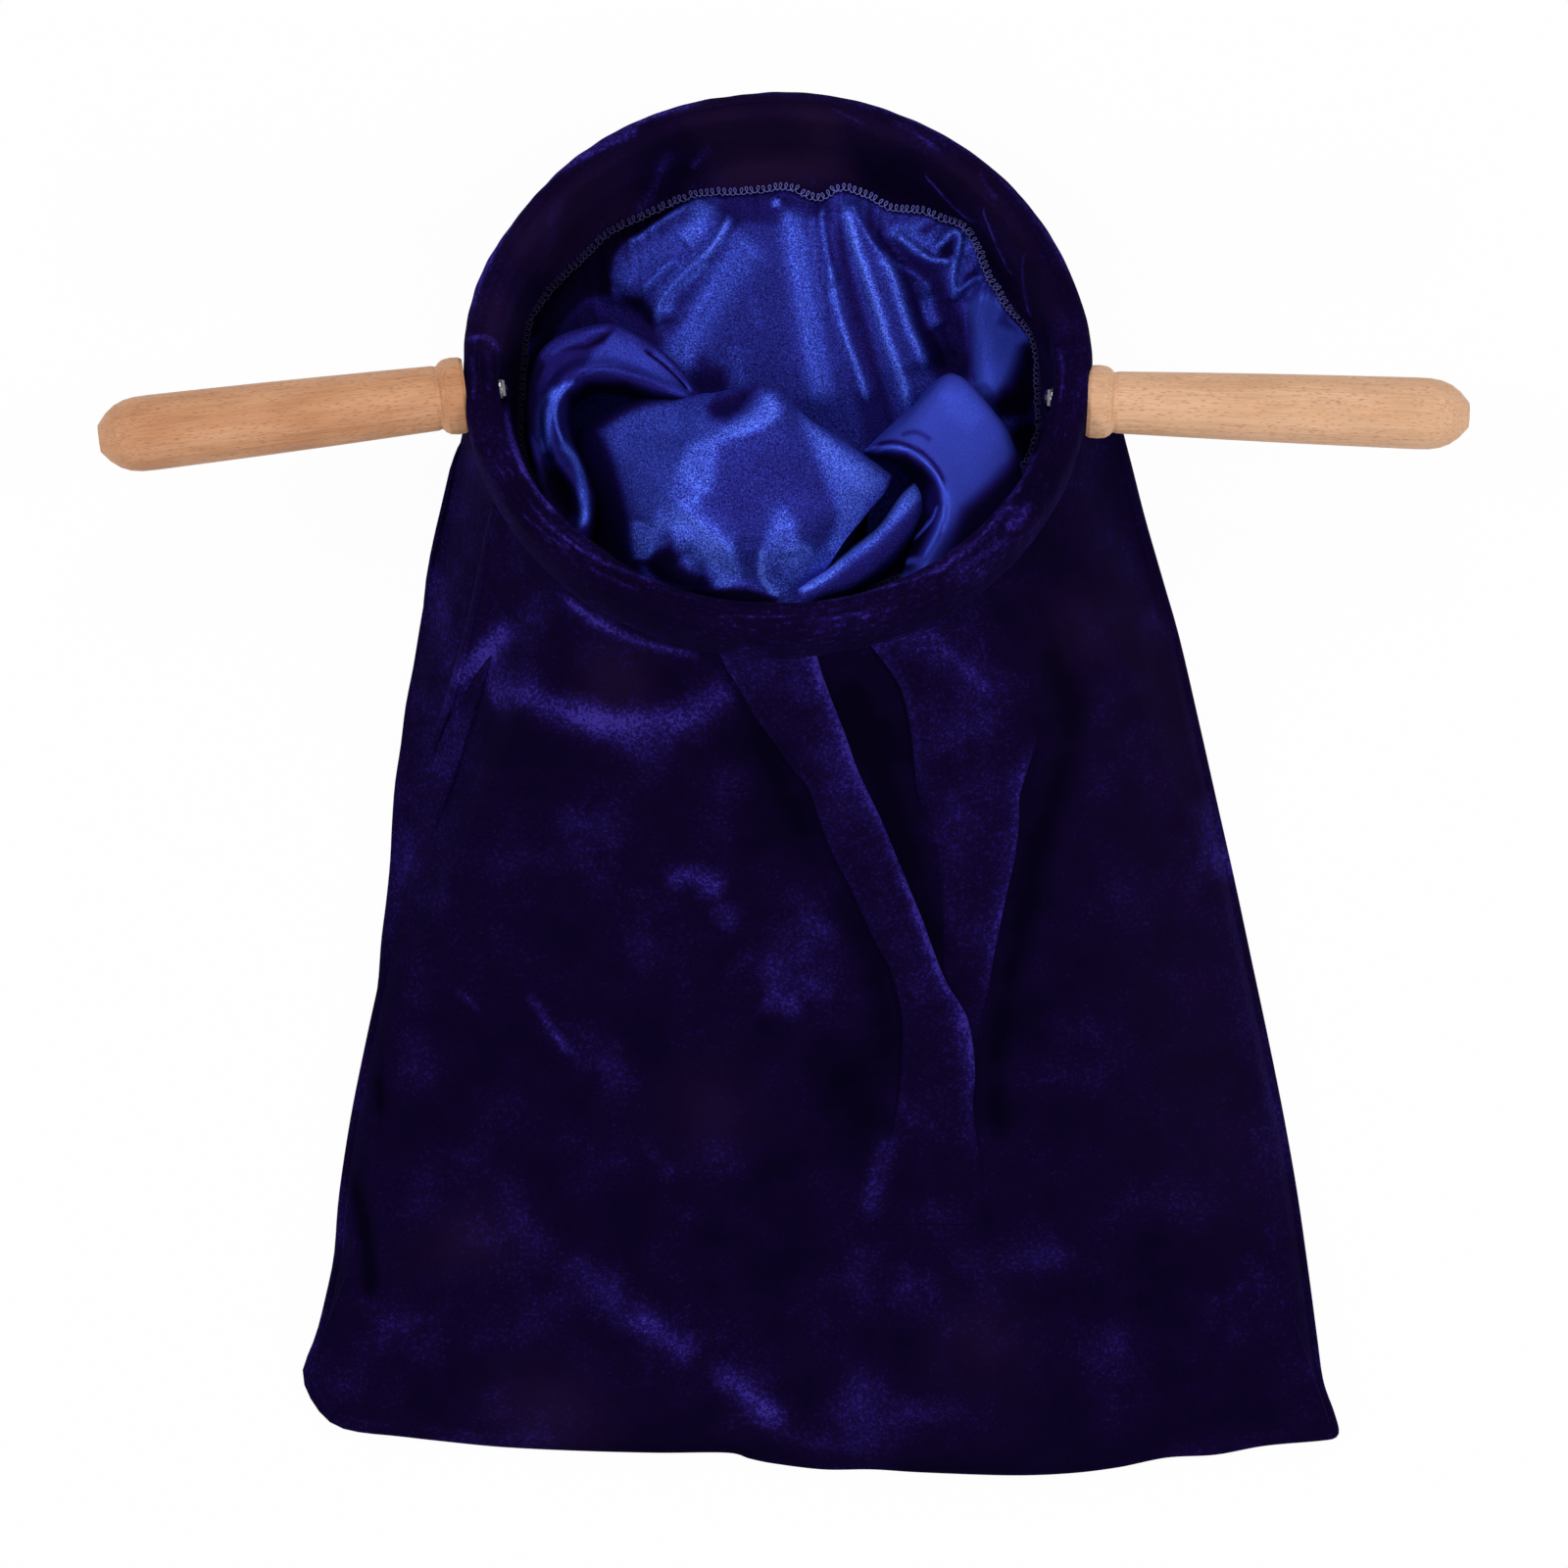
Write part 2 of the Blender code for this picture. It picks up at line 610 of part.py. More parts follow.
def make_screw(side, looks, carrier, rim):
    """A domed screw from inside the rim, with its washer."""
    frame = handle_frame(side)
    washer_top = washer_seat() - CLOTH_GAP / 2
    washer_low = washer_top - WASHER_THICKNESS
    hole = SCREW_RADIUS + SEAT_GAP
    washer = ring(hole, WASHER_RADIUS, washer_low, washer_top, TURNED_SEGMENTS)
    piece(f"washer_{side}", washer, looks["steel"], rim, frame)
    under = washer_low - SEAT_GAP
    tip = under + SCREW_LENGTH
    profile = [(0.0, tip), (SCREW_RADIUS, tip - SCREW_POINT), (SCREW_RADIUS, under), (SCREW_HEAD_RADIUS, under)]
    for k in range(1, 5):
        turn = math.pi / 2 * k / 4
        height = under - SCREW_HEAD_HEIGHT * math.sin(turn)
        profile.append((SCREW_HEAD_RADIUS * math.cos(turn) if k < 4 else 0.0, height))
    work = turned(profile, SCREW_SEGMENTS, closed=False)
    piece(f"screw_{side}", work, looks["steel"], carrier, frame)


def make_seam(looks, carrier):
    """The overlocked edge that joins the facing to the lining."""
    work = bmesh.new()
    rings = []
    for angle in angles(CLOTH_COLUMNS):
        path, direction = facing_path(angle)
        centre = path[-1] + (SEAM_BEAD_RADIUS + CLOTH_GAP) * direction
        ahead = seam_point(angle + 0.01, 0.0) - seam_point(angle - 0.01, 0.0)
        other = np.cross(ahead, direction)
        other /= np.linalg.norm(other)
        ring_points = []
        for k in range(SEAM_SIDES):
            turn = 2 * math.pi * (k + 0.5) / SEAM_SIDES
            spot = centre + SEAM_BEAD_RADIUS * (math.cos(turn) * direction + math.sin(turn) * other)
            ring_points.append(work.verts.new(spot))
        rings.append(ring_points)
    for here, there in zip(rings, rings[1:] + rings[:1]):
        for k in range(SEAM_SIDES):
            n = (k + 1) % SEAM_SIDES
            work.faces.new((here[k], here[n], there[n], there[k]))
    piece("serged_seam", work, looks["thread"], carrier)


def make_cloth(looks, bag, rim):
    turns = angles(CLOTH_COLUMNS)
    facing = sheet(columns_to_rows([facing_path(a)[0] for a in turns]), FACING_THICKNESS)
    piece("rim_facing", facing, looks["velvet"], rim)
    front = sheet(columns_to_rows([front_path(a) for a in turns]), VELVET)
    piece("front_panel", front, looks["velvet"], bag)
    piece("back_panel", flat_sheet([outline(a) for a in turns], 0.0, VELVET), looks["velvet"], bag)
    upper = sheet(columns_to_rows([lining_path(a) for a in turns]), SATIN)
    piece("lining_front", upper, looks["satin"], bag)
    under = flat_sheet([lining_outline(a) for a in turns], VELVET + CLOTH_GAP, SATIN)
    piece("lining_back", under, looks["satin"], bag)
    make_seam(looks, rim)


def main():
    for thing in list(bpy.data.objects):
        bpy.data.objects.remove(thing)
    looks = {
        "velvet": material("velvet", (0.020, 0.006, 0.190), 0.90),
        "satin": material("satin", (0.020, 0.045, 0.480), 0.30),
        "thread": material("thread", (0.060, 0.070, 0.320), 0.60),
        "hoop": material("hoop_wood", (0.560, 0.400, 0.240), 0.60),
        "beech": material("beech", (0.640, 0.370, 0.190), 0.42),
        "steel": material("steel", (0.720, 0.720, 0.730), 0.25, 1.0),
    }
    bag = empty("bag", Matrix.Identity(4))
    hinge = Matrix.Translation(Vector(rim_point(math.pi / 2, CORNER_RADIUS, -CORNER_LEVEL)))
    rim = empty("rim_tilt_axis", hinge, bag)
    make_cloth(looks, bag, rim)
    make_rim(looks, rim)
    for side in HANDLES:
        carrier = empty(f"handle_{side}_axis", handle_frame(side), rim)
        make_handle(side, looks, carrier)
        make_screw(side, looks, carrier, rim)


main()
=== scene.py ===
# %% [markdown]
# # An offertory bag in velvet, satin and beech
#
# This lesson dresses a finished model of a collection bag. The model gives every piece's place and
# size, and the cells below give the cloth its folds, the wood its grain and the seams their thread.

import math

import bmesh
import bpy
import numpy as np
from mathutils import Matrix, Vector
from mathutils.bvhtree import BVHTree


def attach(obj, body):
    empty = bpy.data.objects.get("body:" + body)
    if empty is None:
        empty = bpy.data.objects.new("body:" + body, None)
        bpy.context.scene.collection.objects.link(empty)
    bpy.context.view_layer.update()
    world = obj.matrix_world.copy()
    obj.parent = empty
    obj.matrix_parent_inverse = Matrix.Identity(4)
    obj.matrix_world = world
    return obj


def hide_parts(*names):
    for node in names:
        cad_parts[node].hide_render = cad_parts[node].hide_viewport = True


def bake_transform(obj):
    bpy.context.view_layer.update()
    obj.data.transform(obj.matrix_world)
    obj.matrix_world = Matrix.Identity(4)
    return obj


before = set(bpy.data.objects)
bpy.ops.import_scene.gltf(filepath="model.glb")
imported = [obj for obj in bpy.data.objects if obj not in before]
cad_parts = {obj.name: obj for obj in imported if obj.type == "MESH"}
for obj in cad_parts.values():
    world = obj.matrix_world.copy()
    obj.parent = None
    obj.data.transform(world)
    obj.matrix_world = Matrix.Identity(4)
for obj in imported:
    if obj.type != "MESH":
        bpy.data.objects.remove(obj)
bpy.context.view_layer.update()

# %% [markdown]
# ## Camera
#
# The bag lies on a table and the camera hangs 2 m above it, looking straight down. A long lens from
# far away keeps the hoop's ellipse true. `seen` turns a place in the 1600 pixel picture into a place
# in the room, once we say how high above the table the thing is.

# %% Camera straight above
CAMERA_HEIGHT = 2.0
PICTURE_WIDTH = 0.528
PIXEL = PICTURE_WIDTH / 1600


def add_object(name, data):
    """A new object in the scene."""
    made = bpy.data.objects.new(name, data)
    bpy.context.scene.collection.objects.link(made)
    return made


def seen(u, v, z):
    """The place at height z that the camera sees at (u, v)."""
    scale = PIXEL * (1 - z / CAMERA_HEIGHT)
    return np.array([(u - 800) * scale, (800 - v) * scale, z])


def places(text):
    """Places from text such as "868,148 930,150"."""
    return [tuple(float(part) for part in word.split(",")) for word in text.split()]


def table(text):
    """Rows from text; each row has its plain numbers first and then the places of its line."""
    rows = []
    for word in text.split():
        if "," in word:
            rows[-1][-1].extend(places(word))
        elif not rows or rows[-1][-1]:
            rows.append([float(word), []])
        else:
            rows[-1].insert(-1, float(word))
    return rows


camera_data = bpy.data.cameras.new("camera")
camera_data.lens = camera_data.sensor_width * CAMERA_HEIGHT / PICTURE_WIDTH
camera = add_object("camera", camera_data)
camera.location = (0.0, 0.0, CAMERA_HEIGHT)
bpy.context.scene.camera = camera
print("lens", round(camera_data.lens, 1), "mm")

# %% [markdown]
# ## The hoop's own directions
#
# The hoop leans: its far side lies on the table and its near side is propped up. Every ring of cloth
# is drawn with an angle round the hoop, a radius and a level above the hoop's middle plane.

# %% The hoop's frame
TILT = math.radians(25.9)
RIM_CENTRE = np.array([-0.00245, 0.1358, 0.05949])
ACROSS = np.array([1.0, 0.0, 0.0])
AWAY = np.array([0.0, math.cos(TILT), -math.sin(TILT)])
UP_OUT = np.array([0.0, math.sin(TILT), math.cos(TILT)])


def rim_point(angle, radius, level):
    """A place on the hoop; angle, radius and level may be numbers or arrays of one shape."""
    angle, radius, level = np.broadcast_arrays(angle, radius, level)
    spoke = np.cos(angle)[..., None] * ACROSS + np.sin(angle)[..., None] * AWAY
    return RIM_CENTRE + radius[..., None] * spoke + level[..., None] * UP_OUT


print("hoop leans", round(math.degrees(TILT), 1), "degrees")

# %% [markdown]
# ## Small tools for cloth
#
# Cloth is drawn as a grid of points, rows by columns. `cloth` gives such a grid a thickness and closes
# its edges, so that it is a real sheet with a front and a back. The back may be coarser than the front,
# which saves faces where nobody looks. Grids can be closed round a ring or open at both sides.

# %% Grid helpers
CURVE_STEPS = 30


def smooth(t):
    """A soft step from 0 to 1."""
    t = np.clip(t, 0.0, 1.0)
    return t * t * (3 - 2 * t)


def soft_floor(height, low, soft):
    """A height that settles on to low softly instead of going through it."""
    return low + soft * np.log1p(np.exp((height - low) / soft))


def normals(grid, ring):
    """Unit normals of a grid of points."""
    down = np.gradient(grid, axis=0)
    if ring:
        along = np.roll(grid, -1, axis=1) - np.roll(grid, 1, axis=1)
    else:
        along = np.gradient(grid, axis=1)
    normal = np.cross(along, down)
    return normal / np.maximum(np.linalg.norm(normal, axis=2, keepdims=True), 1e-12)


def run_along(line):
    """How far along a line each of its points is."""
    return np.concatenate([[0.0], np.cumsum(np.linalg.norm(np.diff(line, axis=0), axis=1))])


def curve_through(points, count):
    """Evenly spaced points on a smooth curve through the given ones."""
    points = np.asarray(points, dtype=float)
    ends = np.vstack([2 * points[0] - points[1], points, 2 * points[-1] - points[-2]])
    t = np.linspace(0, 1, CURVE_STEPS, endpoint=False)[:, None]
    fine = []
    for a, b, c, d in zip(ends, ends[1:], ends[2:], ends[3:]):
        bent = 2 * b + (c - a) * t + (2 * a - 5 * b + 4 * c - d) * t**2
        fine.append(0.5 * (bent + (3 * b - a - 3 * c + d) * t**3))
    fine = np.vstack([*fine, points[-1]])
    run = run_along(fine)
    at = np.linspace(0, run[-1], count)
    return np.stack([np.interp(at, run, fine[:, k]) for k in range(fine.shape[1])], axis=1)


def surface_through(net, rows, columns):
    """A smooth surface through a net of points, first along its columns, then along its rows."""
    net = np.asarray(net, dtype=float)
    tall = np.stack([curve_through(net[:, k], rows) for k in range(net.shape[1])], axis=1)
    return np.stack([curve_through(row, columns) for row in tall], axis=0)


def picks(count, step, ring=False):
    """Every step-th index, and the last one too unless the grid is a ring."""
    chosen = np.arange(0, count, step)
    return chosen if ring else np.unique(np.append(chosen, count - 1))


def quads(index, ring, flip):
    """The faces of a grid of point numbers."""
    a, b = index[:-1, :], index[1:, :]
    if ring:
        a2, b2 = np.roll(a, -1, axis=1), np.roll(b, -1, axis=1)
    else:
        a, a2, b, b2 = a[:, :-1], a[:, 1:], b[:, :-1], b[:, 1:]
    corners = (a, a2, b2, b) if flip else (a, b, b2, a2)
    return np.stack(corners, axis=-1).reshape(-1, 4).tolist()


def edge_faces(front_line, back_line, chosen, flip):
    """The faces that close an edge between the fine front and the coarser back."""
    faces = []
    for k in range(len(chosen) - 1):
        loop = [*front_line[chosen[k] : chosen[k + 1] + 1].tolist(), back_line[k + 1], back_line[k]]
        faces.append([int(i) for i in (loop[::-1] if flip else loop)])
    return faces


def add_mesh(name, points, faces, material):
    """A new smooth mesh object."""
    mesh = bpy.data.meshes.new(name)
    mesh.from_pydata(points.tolist(), [], faces)
    mesh.update()
    mesh.materials.append(material)
    mesh.shade_smooth()
    return add_object(name, mesh)


def faces_point_out(piece):
    """Turns a closed piece's faces outwards."""
    work = bmesh.new()
    work.from_mesh(piece.data)
    bmesh.ops.recalc_face_normals(work, faces=work.faces)
    work.to_mesh(piece.data)
    work.free()


def cloth(name, grid, thickness, material, ring=False, coarse=1, **values):
    """A closed sheet whose front follows the grid and whose back lies a thickness behind it."""
    rows, columns = grid.shape[:2]
    row_picks, column_picks = picks(rows, coarse), picks(columns, coarse, ring)
    chosen = np.ix_(row_picks, column_picks)
    back = (grid - thickness * normals(grid, ring))[chosen]
    fronts = np.arange(rows * columns).reshape(rows, columns)
    backs = rows * columns + np.arange(back[..., 0].size).reshape(back.shape[:2])
    faces = quads(fronts, ring, True) + quads(backs, ring, False)
    if ring:
        around = [*column_picks, columns]
        for row, flip in ((0, True), (-1, False)):
            front_line, back_line = (np.append(index[row], index[row][0]) for index in (fronts, backs))
            faces += edge_faces(front_line, back_line, around, flip)
    else:
        faces += edge_faces(fronts[0], backs[0], column_picks, True)
        faces += edge_faces(fronts[-1], backs[-1], column_picks, False)
        faces += edge_faces(fronts[:, 0], backs[:, 0], row_picks, False)
        faces += edge_faces(fronts[:, -1], backs[:, -1], row_picks, True)
    made = add_mesh(name, np.vstack([grid.reshape(-1, 3), back.reshape(-1, 3)]), faces, material)
    mesh = made.data

    steps = [np.linalg.norm(np.diff(grid, axis=k), axis=2).mean(axis=1 - k) for k in (0, 1)]
    down, along = (np.concatenate([[0.0], np.cumsum(step)]) for step in steps)
    weave = np.stack(np.meshgrid(along, down), axis=-1)
    weave = np.concatenate([weave.reshape(-1, 2), weave[chosen].reshape(-1, 2)])
    corner = np.zeros(len(mesh.loops), dtype=np.int64)
    mesh.loops.foreach_get("vertex_index", corner)
    mesh.uv_layers.new(name="weave").data.foreach_set("uv", weave[corner].ravel())
    for key, value in values.items():
        layer = mesh.attributes.new(key, "FLOAT", "POINT")
        whole = np.concatenate([value.ravel(), value[chosen].ravel()])
        layer.data.foreach_set("value", whole.astype(np.float32))
    faces_point_out(made)
    return made


# %% [markdown]
# ## Strokes
#
# Folds are drawn as strokes: a line on the table plan, a width and a height. Each stroke lifts the
# cloth beside its line like a soft ridge, or presses it down where the height is negative. The same
# strokes also paint highlights and shade into the velvet's colour. Long lists of strokes are kept
# as text tables: first the numbers of a stroke, then its line in picture places.

# %% Stroke helpers
PLAN_HEIGHT = 0.01
LINE_POINTS = 24
CREST = 0.0004


def plan_line(points):
    """A smooth line on the table plan through picture places."""
    return curve_through([seen(u, v, PLAN_HEIGHT) for u, v in points], LINE_POINTS)[:, :2]


def line_distance(x, y, line):
    """Distance to a broken line, and how far along it the nearest place is, from 0 to 1."""
    lengths = np.linalg.norm(np.diff(line, axis=0), axis=1)
    total = lengths.sum()
    best = np.full(np.shape(x), np.inf)
    place = np.zeros(np.shape(x))
    gone = 0.0
    for (ax, ay), (bx, by), length in zip(line, line[1:], lengths):
        share = np.clip(((x - ax) * (bx - ax) + (y - ay) * (by - ay)) / max(length**2, 1e-12), 0, 1)
        gap = np.hypot(x - ax - share * (bx - ax), y - ay - share * (by - ay))
        nearer = gap < best
        best = np.where(nearer, gap, best)
        place = np.where(nearer, (gone + share * length) / total, place)
        gone += length
    return best, place


def near_line(x, y, line, reach):
    """Which places lie within reach of the line's own box."""
    low, high = line.min(axis=0) - reach, line.max(axis=0) + reach
    return (x > low[0]) & (x < high[0]) & (y > low[1]) & (y < high[1])


def tapered(place, taper):
    """1 along a stroke's middle, falling to 0 at both its ends."""
    return smooth(place / taper) * smooth((1 - place) / taper)


def stroke(x, y, points, width, height, taper):
    """A soft ridge along a line of picture places; it tapers at both ends."""
    line = plan_line(points)
    lift = np.zeros(np.shape(x))
    near = near_line(x, y, line, 3 * width)
    gap, place = line_distance(x[near], y[near], line)
    lift[near] = height * tapered(place, taper) * np.exp(-((gap / width) ** 2))
    return lift


def strokes(x, y, rows, unit=1.0):
    """The sum of strokes given as rows of height, width in mm, taper and line."""
    return sum(stroke(x, y, line, width / 1000, height * unit, taper) for height, width, taper, line in rows)


def fold(x, y, points, left, right, height, taper):
    """A ridge with a crisp crest; left and right are how fast it falls on either side of its line."""
    line = plan_line(points)
    lift = np.zeros(np.shape(x))
    near = near_line(x, y, line, 6 * max(left, right))
    px, py = x[near], y[near]
    gap, place = line_distance(px, py, line)
    at = np.clip((place * (LINE_POINTS - 1)).astype(int), 0, LINE_POINTS - 2)
    ahead = np.diff(line, axis=0)[at]
    side = ahead[:, 0] * (py - line[at][:, 1]) - ahead[:, 1] * (px - line[at][:, 0])
    width = np.where(side > 0, left, right)
    rounded = np.sqrt(gap**2 + CREST**2) - CREST
    lift[near] = height * tapered(place, taper) * np.exp(-rounded / width)
    return lift


def folds(x, y, rows, taper):
    """The sum of folds given as rows of left, right and height in mm, and a line."""
    return sum(fold(x, y, line, left / 1000, right / 1000, height / 1000, taper) for left, right, height, line in rows)


def inside(x, y, points, soft):
    """1 inside a closed outline of picture places, 0 outside it, with an edge of the given softness."""
    line = np.array([seen(u, v, PLAN_HEIGHT) for u, v in points])[:, :2]
    closed = np.vstack([line, line[:1]])
    gap, _ = line_distance(x, y, closed)
    odd = np.zeros(np.shape(x), dtype=bool)
    for (ax, ay), (bx, by) in zip(closed, closed[1:]):
        crosses = (ay > y) != (by > y)
        with np.errstate(divide="ignore", invalid="ignore"):
            odd ^= crosses & (x < (bx - ax) * (y - ay) / (by - ay) + ax)
    return smooth(0.5 + np.where(odd, gap, -gap) / (2 * soft))


def ripples(x, y, size, seed, waves=14):
    """Soft waves without a plain direction, about 1 high."""
    rng = np.random.default_rng(seed)
    total = np.zeros(np.broadcast(x, y).shape)
    for _ in range(waves):
        angle, phase = rng.uniform(0, 2 * math.pi, 2)
        wave = size * rng.uniform(0.7, 1.6)
        total += np.sin(2 * math.pi * (x * math.cos(angle) + y * math.sin(angle)) / wave + phase)
    return total / math.sqrt(waves / 2) / 1.6


def on_plan(grid):
    """Each point's x and y as the strokes count them, so that a raised fold and its stroke meet."""
    scale = (1 - PLAN_HEIGHT / CAMERA_HEIGHT) / (1 - grid[..., 2] / CAMERA_HEIGHT)
    return grid[..., 0] * scale, grid[..., 1] * scale


def painted(x, y, start, touches):
    """A tone for every point: each touch draws it to a tone of its own, along a line or in a closed outline."""
    tone = np.zeros(np.shape(x)) + start
    for target, width, points in touches:
        if points[0] == points[-1]:
            weight = inside(x, y, points[:-1], width * PIXEL)
        else:
            weight = stroke(x, y, points, width * PIXEL, 1.25, 0.12)
        tone += (target - tone) * np.clip(weight, 0, 1)
    return tone


# %% [markdown]
# ## Materials
#
# Four finishes make the object: velvet, satin, beech and steel, and the thread is a fifth. Each
# Principled shader keeps its plain numbers on its own sockets, and nodes feed only what changes
# over the surface: colour and bump.

# %% Node helpers
def feed(socket, value):
    """Gives a socket a plain value, or a link where the value is another socket."""
    if isinstance(value, bpy.types.NodeSocket):
        socket.id_data.links.new(value, socket)
    elif socket.type == "RGBA":
        socket.default_value = (*value, 1.0)
    else:
        socket.default_value = value


def settle(made, **values):
    """Sets a node's properties and sockets by name, with _ for a space in a socket's name."""
    for key, value in values.items():
        if hasattr(made, key):
            setattr(made, key, value)
        else:
            feed(made.inputs[key.replace("_", " ")], value)
    return made


def node(tree, kind, **values):
    return settle(tree.nodes.new(kind), **values)


def new_material(name):
    """A material, its tree, its shader and the object's own coordinates."""
    made = bpy.data.materials.new(name)
    made.use_nodes = True
    tree = made.node_tree
    return made, tree, tree.nodes["Principled BSDF"], node(tree, "ShaderNodeTexCoord").outputs["Object"]


def noise(tree, place, scale, detail, roughness):
    made = node(tree, "ShaderNodeTexNoise", Vector=place, Scale=scale, Detail=detail, Roughness=roughness)
    return made.outputs["Fac"]


def attribute(tree, name):
    return node(tree, "ShaderNodeAttribute", attribute_name=name).outputs["Fac"]


def ramp(tree, source, stops):
    """A colour ramp fed by source, from (place, grey or colour) stops."""
    made = node(tree, "ShaderNodeValToRGB", Fac=source)
    elements = made.color_ramp.elements
    while len(elements) < len(stops):
        elements.new(0.5)
    for element, (place, colour) in zip(elements, stops):
        element.position = place
        element.color = (*colour, 1.0) if hasattr(colour, "__len__") else (colour, colour, colour, 1.0)
    return made.outputs["Color"]


def blend_colour(tree, factor, low, high, mode="MIX"):
    made = node(tree, "ShaderNodeMix", data_type="RGBA", blend_type=mode, Factor=factor, A=low, B=high)
    return made.outputs["Result"]


def maths(tree, operation, *values):
    made = node(tree, "ShaderNodeMath", operation=operation)
    for socket, value in zip(made.inputs, values):
        feed(socket, value)
    return made.outputs[0]


def bumped(tree, shader, height, strength, distance):
    """Roughens a shader's surface by a height."""
    bump = node(tree, "ShaderNodeBump", Strength=strength, Distance=distance, Height=height)
    feed(shader.inputs["Normal"], bump.outputs["Normal"])


# %% Shared effects: speckle and wood grain
def node_group(name, kind, inputs, outputs):
    """An empty node group with named sockets."""
    group = bpy.data.node_groups.new(name, kind)
    for way, sockets in (("INPUT", inputs), ("OUTPUT", outputs)):
        for label, form in sockets:
            group.interface.new_socket(label, in_out=way, socket_type="NodeSocket" + form)
    return group, group.nodes.new("NodeGroupInput").outputs, group.nodes.new("NodeGroupOutput").inputs


def make_speckle():
    """Fine noise, as a tone between Low and High and as a height."""
    group, given, result = node_group(
        "speckle",
        "ShaderNodeTree",
        [("Place", "Vector"), ("Scale", "Float"), ("Low", "Float"), ("High", "Float")],
        [("Tone", "Float"), ("Height", "Float")],
    )
    grains = noise(group, given["Place"], given["Scale"], 3.0, 0.7)
    spread = node(group, "ShaderNodeMapRange", Value=grains, From_Min=0.30, From_Max=0.70, To_Min=given["Low"])
    settle(spread, To_Max=given["High"])
    feed(result["Tone"], spread.outputs["Result"])
    feed(result["Height"], grains)
    return group


def make_wood_grain():
    """Wood along X: broad rings, fine fibre, and the short dark flecks of beech."""
    group, given, result = node_group(
        "wood_grain",
        "ShaderNodeTree",
        [("Place", "Vector"), ("Light wood", "Color"), ("Dark wood", "Color")],
        [("Colour", "Color"), ("Height", "Float")],
    )

    def stretched(along, across):
        return node(group, "ShaderNodeMapping", Vector=given["Place"], Scale=(along, across, across)).outputs[0]

    rings = noise(group, stretched(26.0, 110.0), 1.0, 3.0, 0.55)
    fibre = noise(group, stretched(60.0, 2200.0), 1.0, 3.0, 0.6)
    flecks = node(group, "ShaderNodeTexVoronoi", Vector=stretched(300.0, 1700.0), Scale=1.0, Randomness=1.0)
    bands = ramp(group, rings, [(0.30, 0.0), (0.66, 1.0)])
    broad = blend_colour(group, bands, given["Dark wood"], given["Light wood"])
    colour = blend_colour(group, 1.0, broad, ramp(group, fibre, [(0.32, 0.80), (0.62, 1.0)]), "MULTIPLY")
    spots = ramp(group, flecks.outputs["Distance"], [(0.14, (0.66, 0.50, 0.40)), (0.34, (1.0, 1.0, 1.0))])
    thin = ramp(group, rings, [(0.34, 0.55), (0.50, 1.0)])
    colour = blend_colour(group, thin, colour, blend_colour(group, 1.0, colour, spots, "MULTIPLY"))
    feed(result["Colour"], colour)
    feed(result["Height"], fibre)
    return group


def use_group(tree, group, **values):
    """Places a group in a material; a value is a number, a colour or a socket."""
    made = node(tree, "ShaderNodeGroup", node_tree=group)
    return settle(made, **values).outputs


speckle = make_speckle()
wood_grain = make_wood_grain()
print("groups", speckle.name, wood_grain.name)


# %% Velvet
def make_velvet():
    """Dark pile; its colour carries painted highlights and painted shade, and a painted dull reddish sheen."""
    made, tree, shader, place = new_material("velvet")
    pile = noise(tree, place, 2300.0, 2.0, 0.7)
    tufts = noise(tree, place, 760.0, 3.0, 0.65)
    patches = ramp(tree, noise(tree, place, 34.0, 4.0, 0.6), [(0.38, 0.0), (0.72, 0.34)])
    # Painted light from each piece's attribute brightens or darkens the pile; the noise patches are the pile's own
    # uneven tone.
    light = maths(tree, "ADD", attribute(tree, "nap"), patches)
    strength = maths(tree, "MULTIPLY_ADD", maths(tree, "MAXIMUM", light, 0.0), 0.42, 0.12)
    tone = maths(tree, "MULTIPLY_ADD", light, 0.56, 0.130)
    for texture, pull, contrast, level in ((tufts, 0.26, 7.0, -4.05), (pile, 0.20, 8.0, -4.85)):
        speck = maths(tree, "MULTIPLY_ADD", maths(tree, "MULTIPLY_ADD", light, pull, texture), contrast, level)
        clamped = node(tree, "ShaderNodeClamp", Value=speck).outputs[0]
        tone = maths(tree, "MULTIPLY_ADD", clamped, strength, tone)
    stops = [
        (0.00, (0.0018, 0.0006, 0.0078)),
        (0.25, (0.0046, 0.0014, 0.0205)),
        (0.50, (0.0102, 0.0045, 0.0620)),
        (0.75, (0.0190, 0.0095, 0.1500)),
        (1.00, (0.0410, 0.0270, 0.2650)),
    ]
    colour = blend_colour(tree, attribute(tree, "dusk"), ramp(tree, tone, stops), (0.0165, 0.0065, 0.0330))
    settle(shader, Base_Color=colour, Roughness=0.9, Specular_IOR_Level=0.01)
    settle(shader, Sheen_Weight=0.035, Sheen_Roughness=0.30, Sheen_Tint=(0.20, 0.14, 1.0))
    height = maths(tree, "ADD", tufts, maths(tree, "MULTIPLY", pile, 0.6))
    bumped(tree, shader, height, 0.6, 0.0007)
    return made


velvet = make_velvet()
print("velvet made")


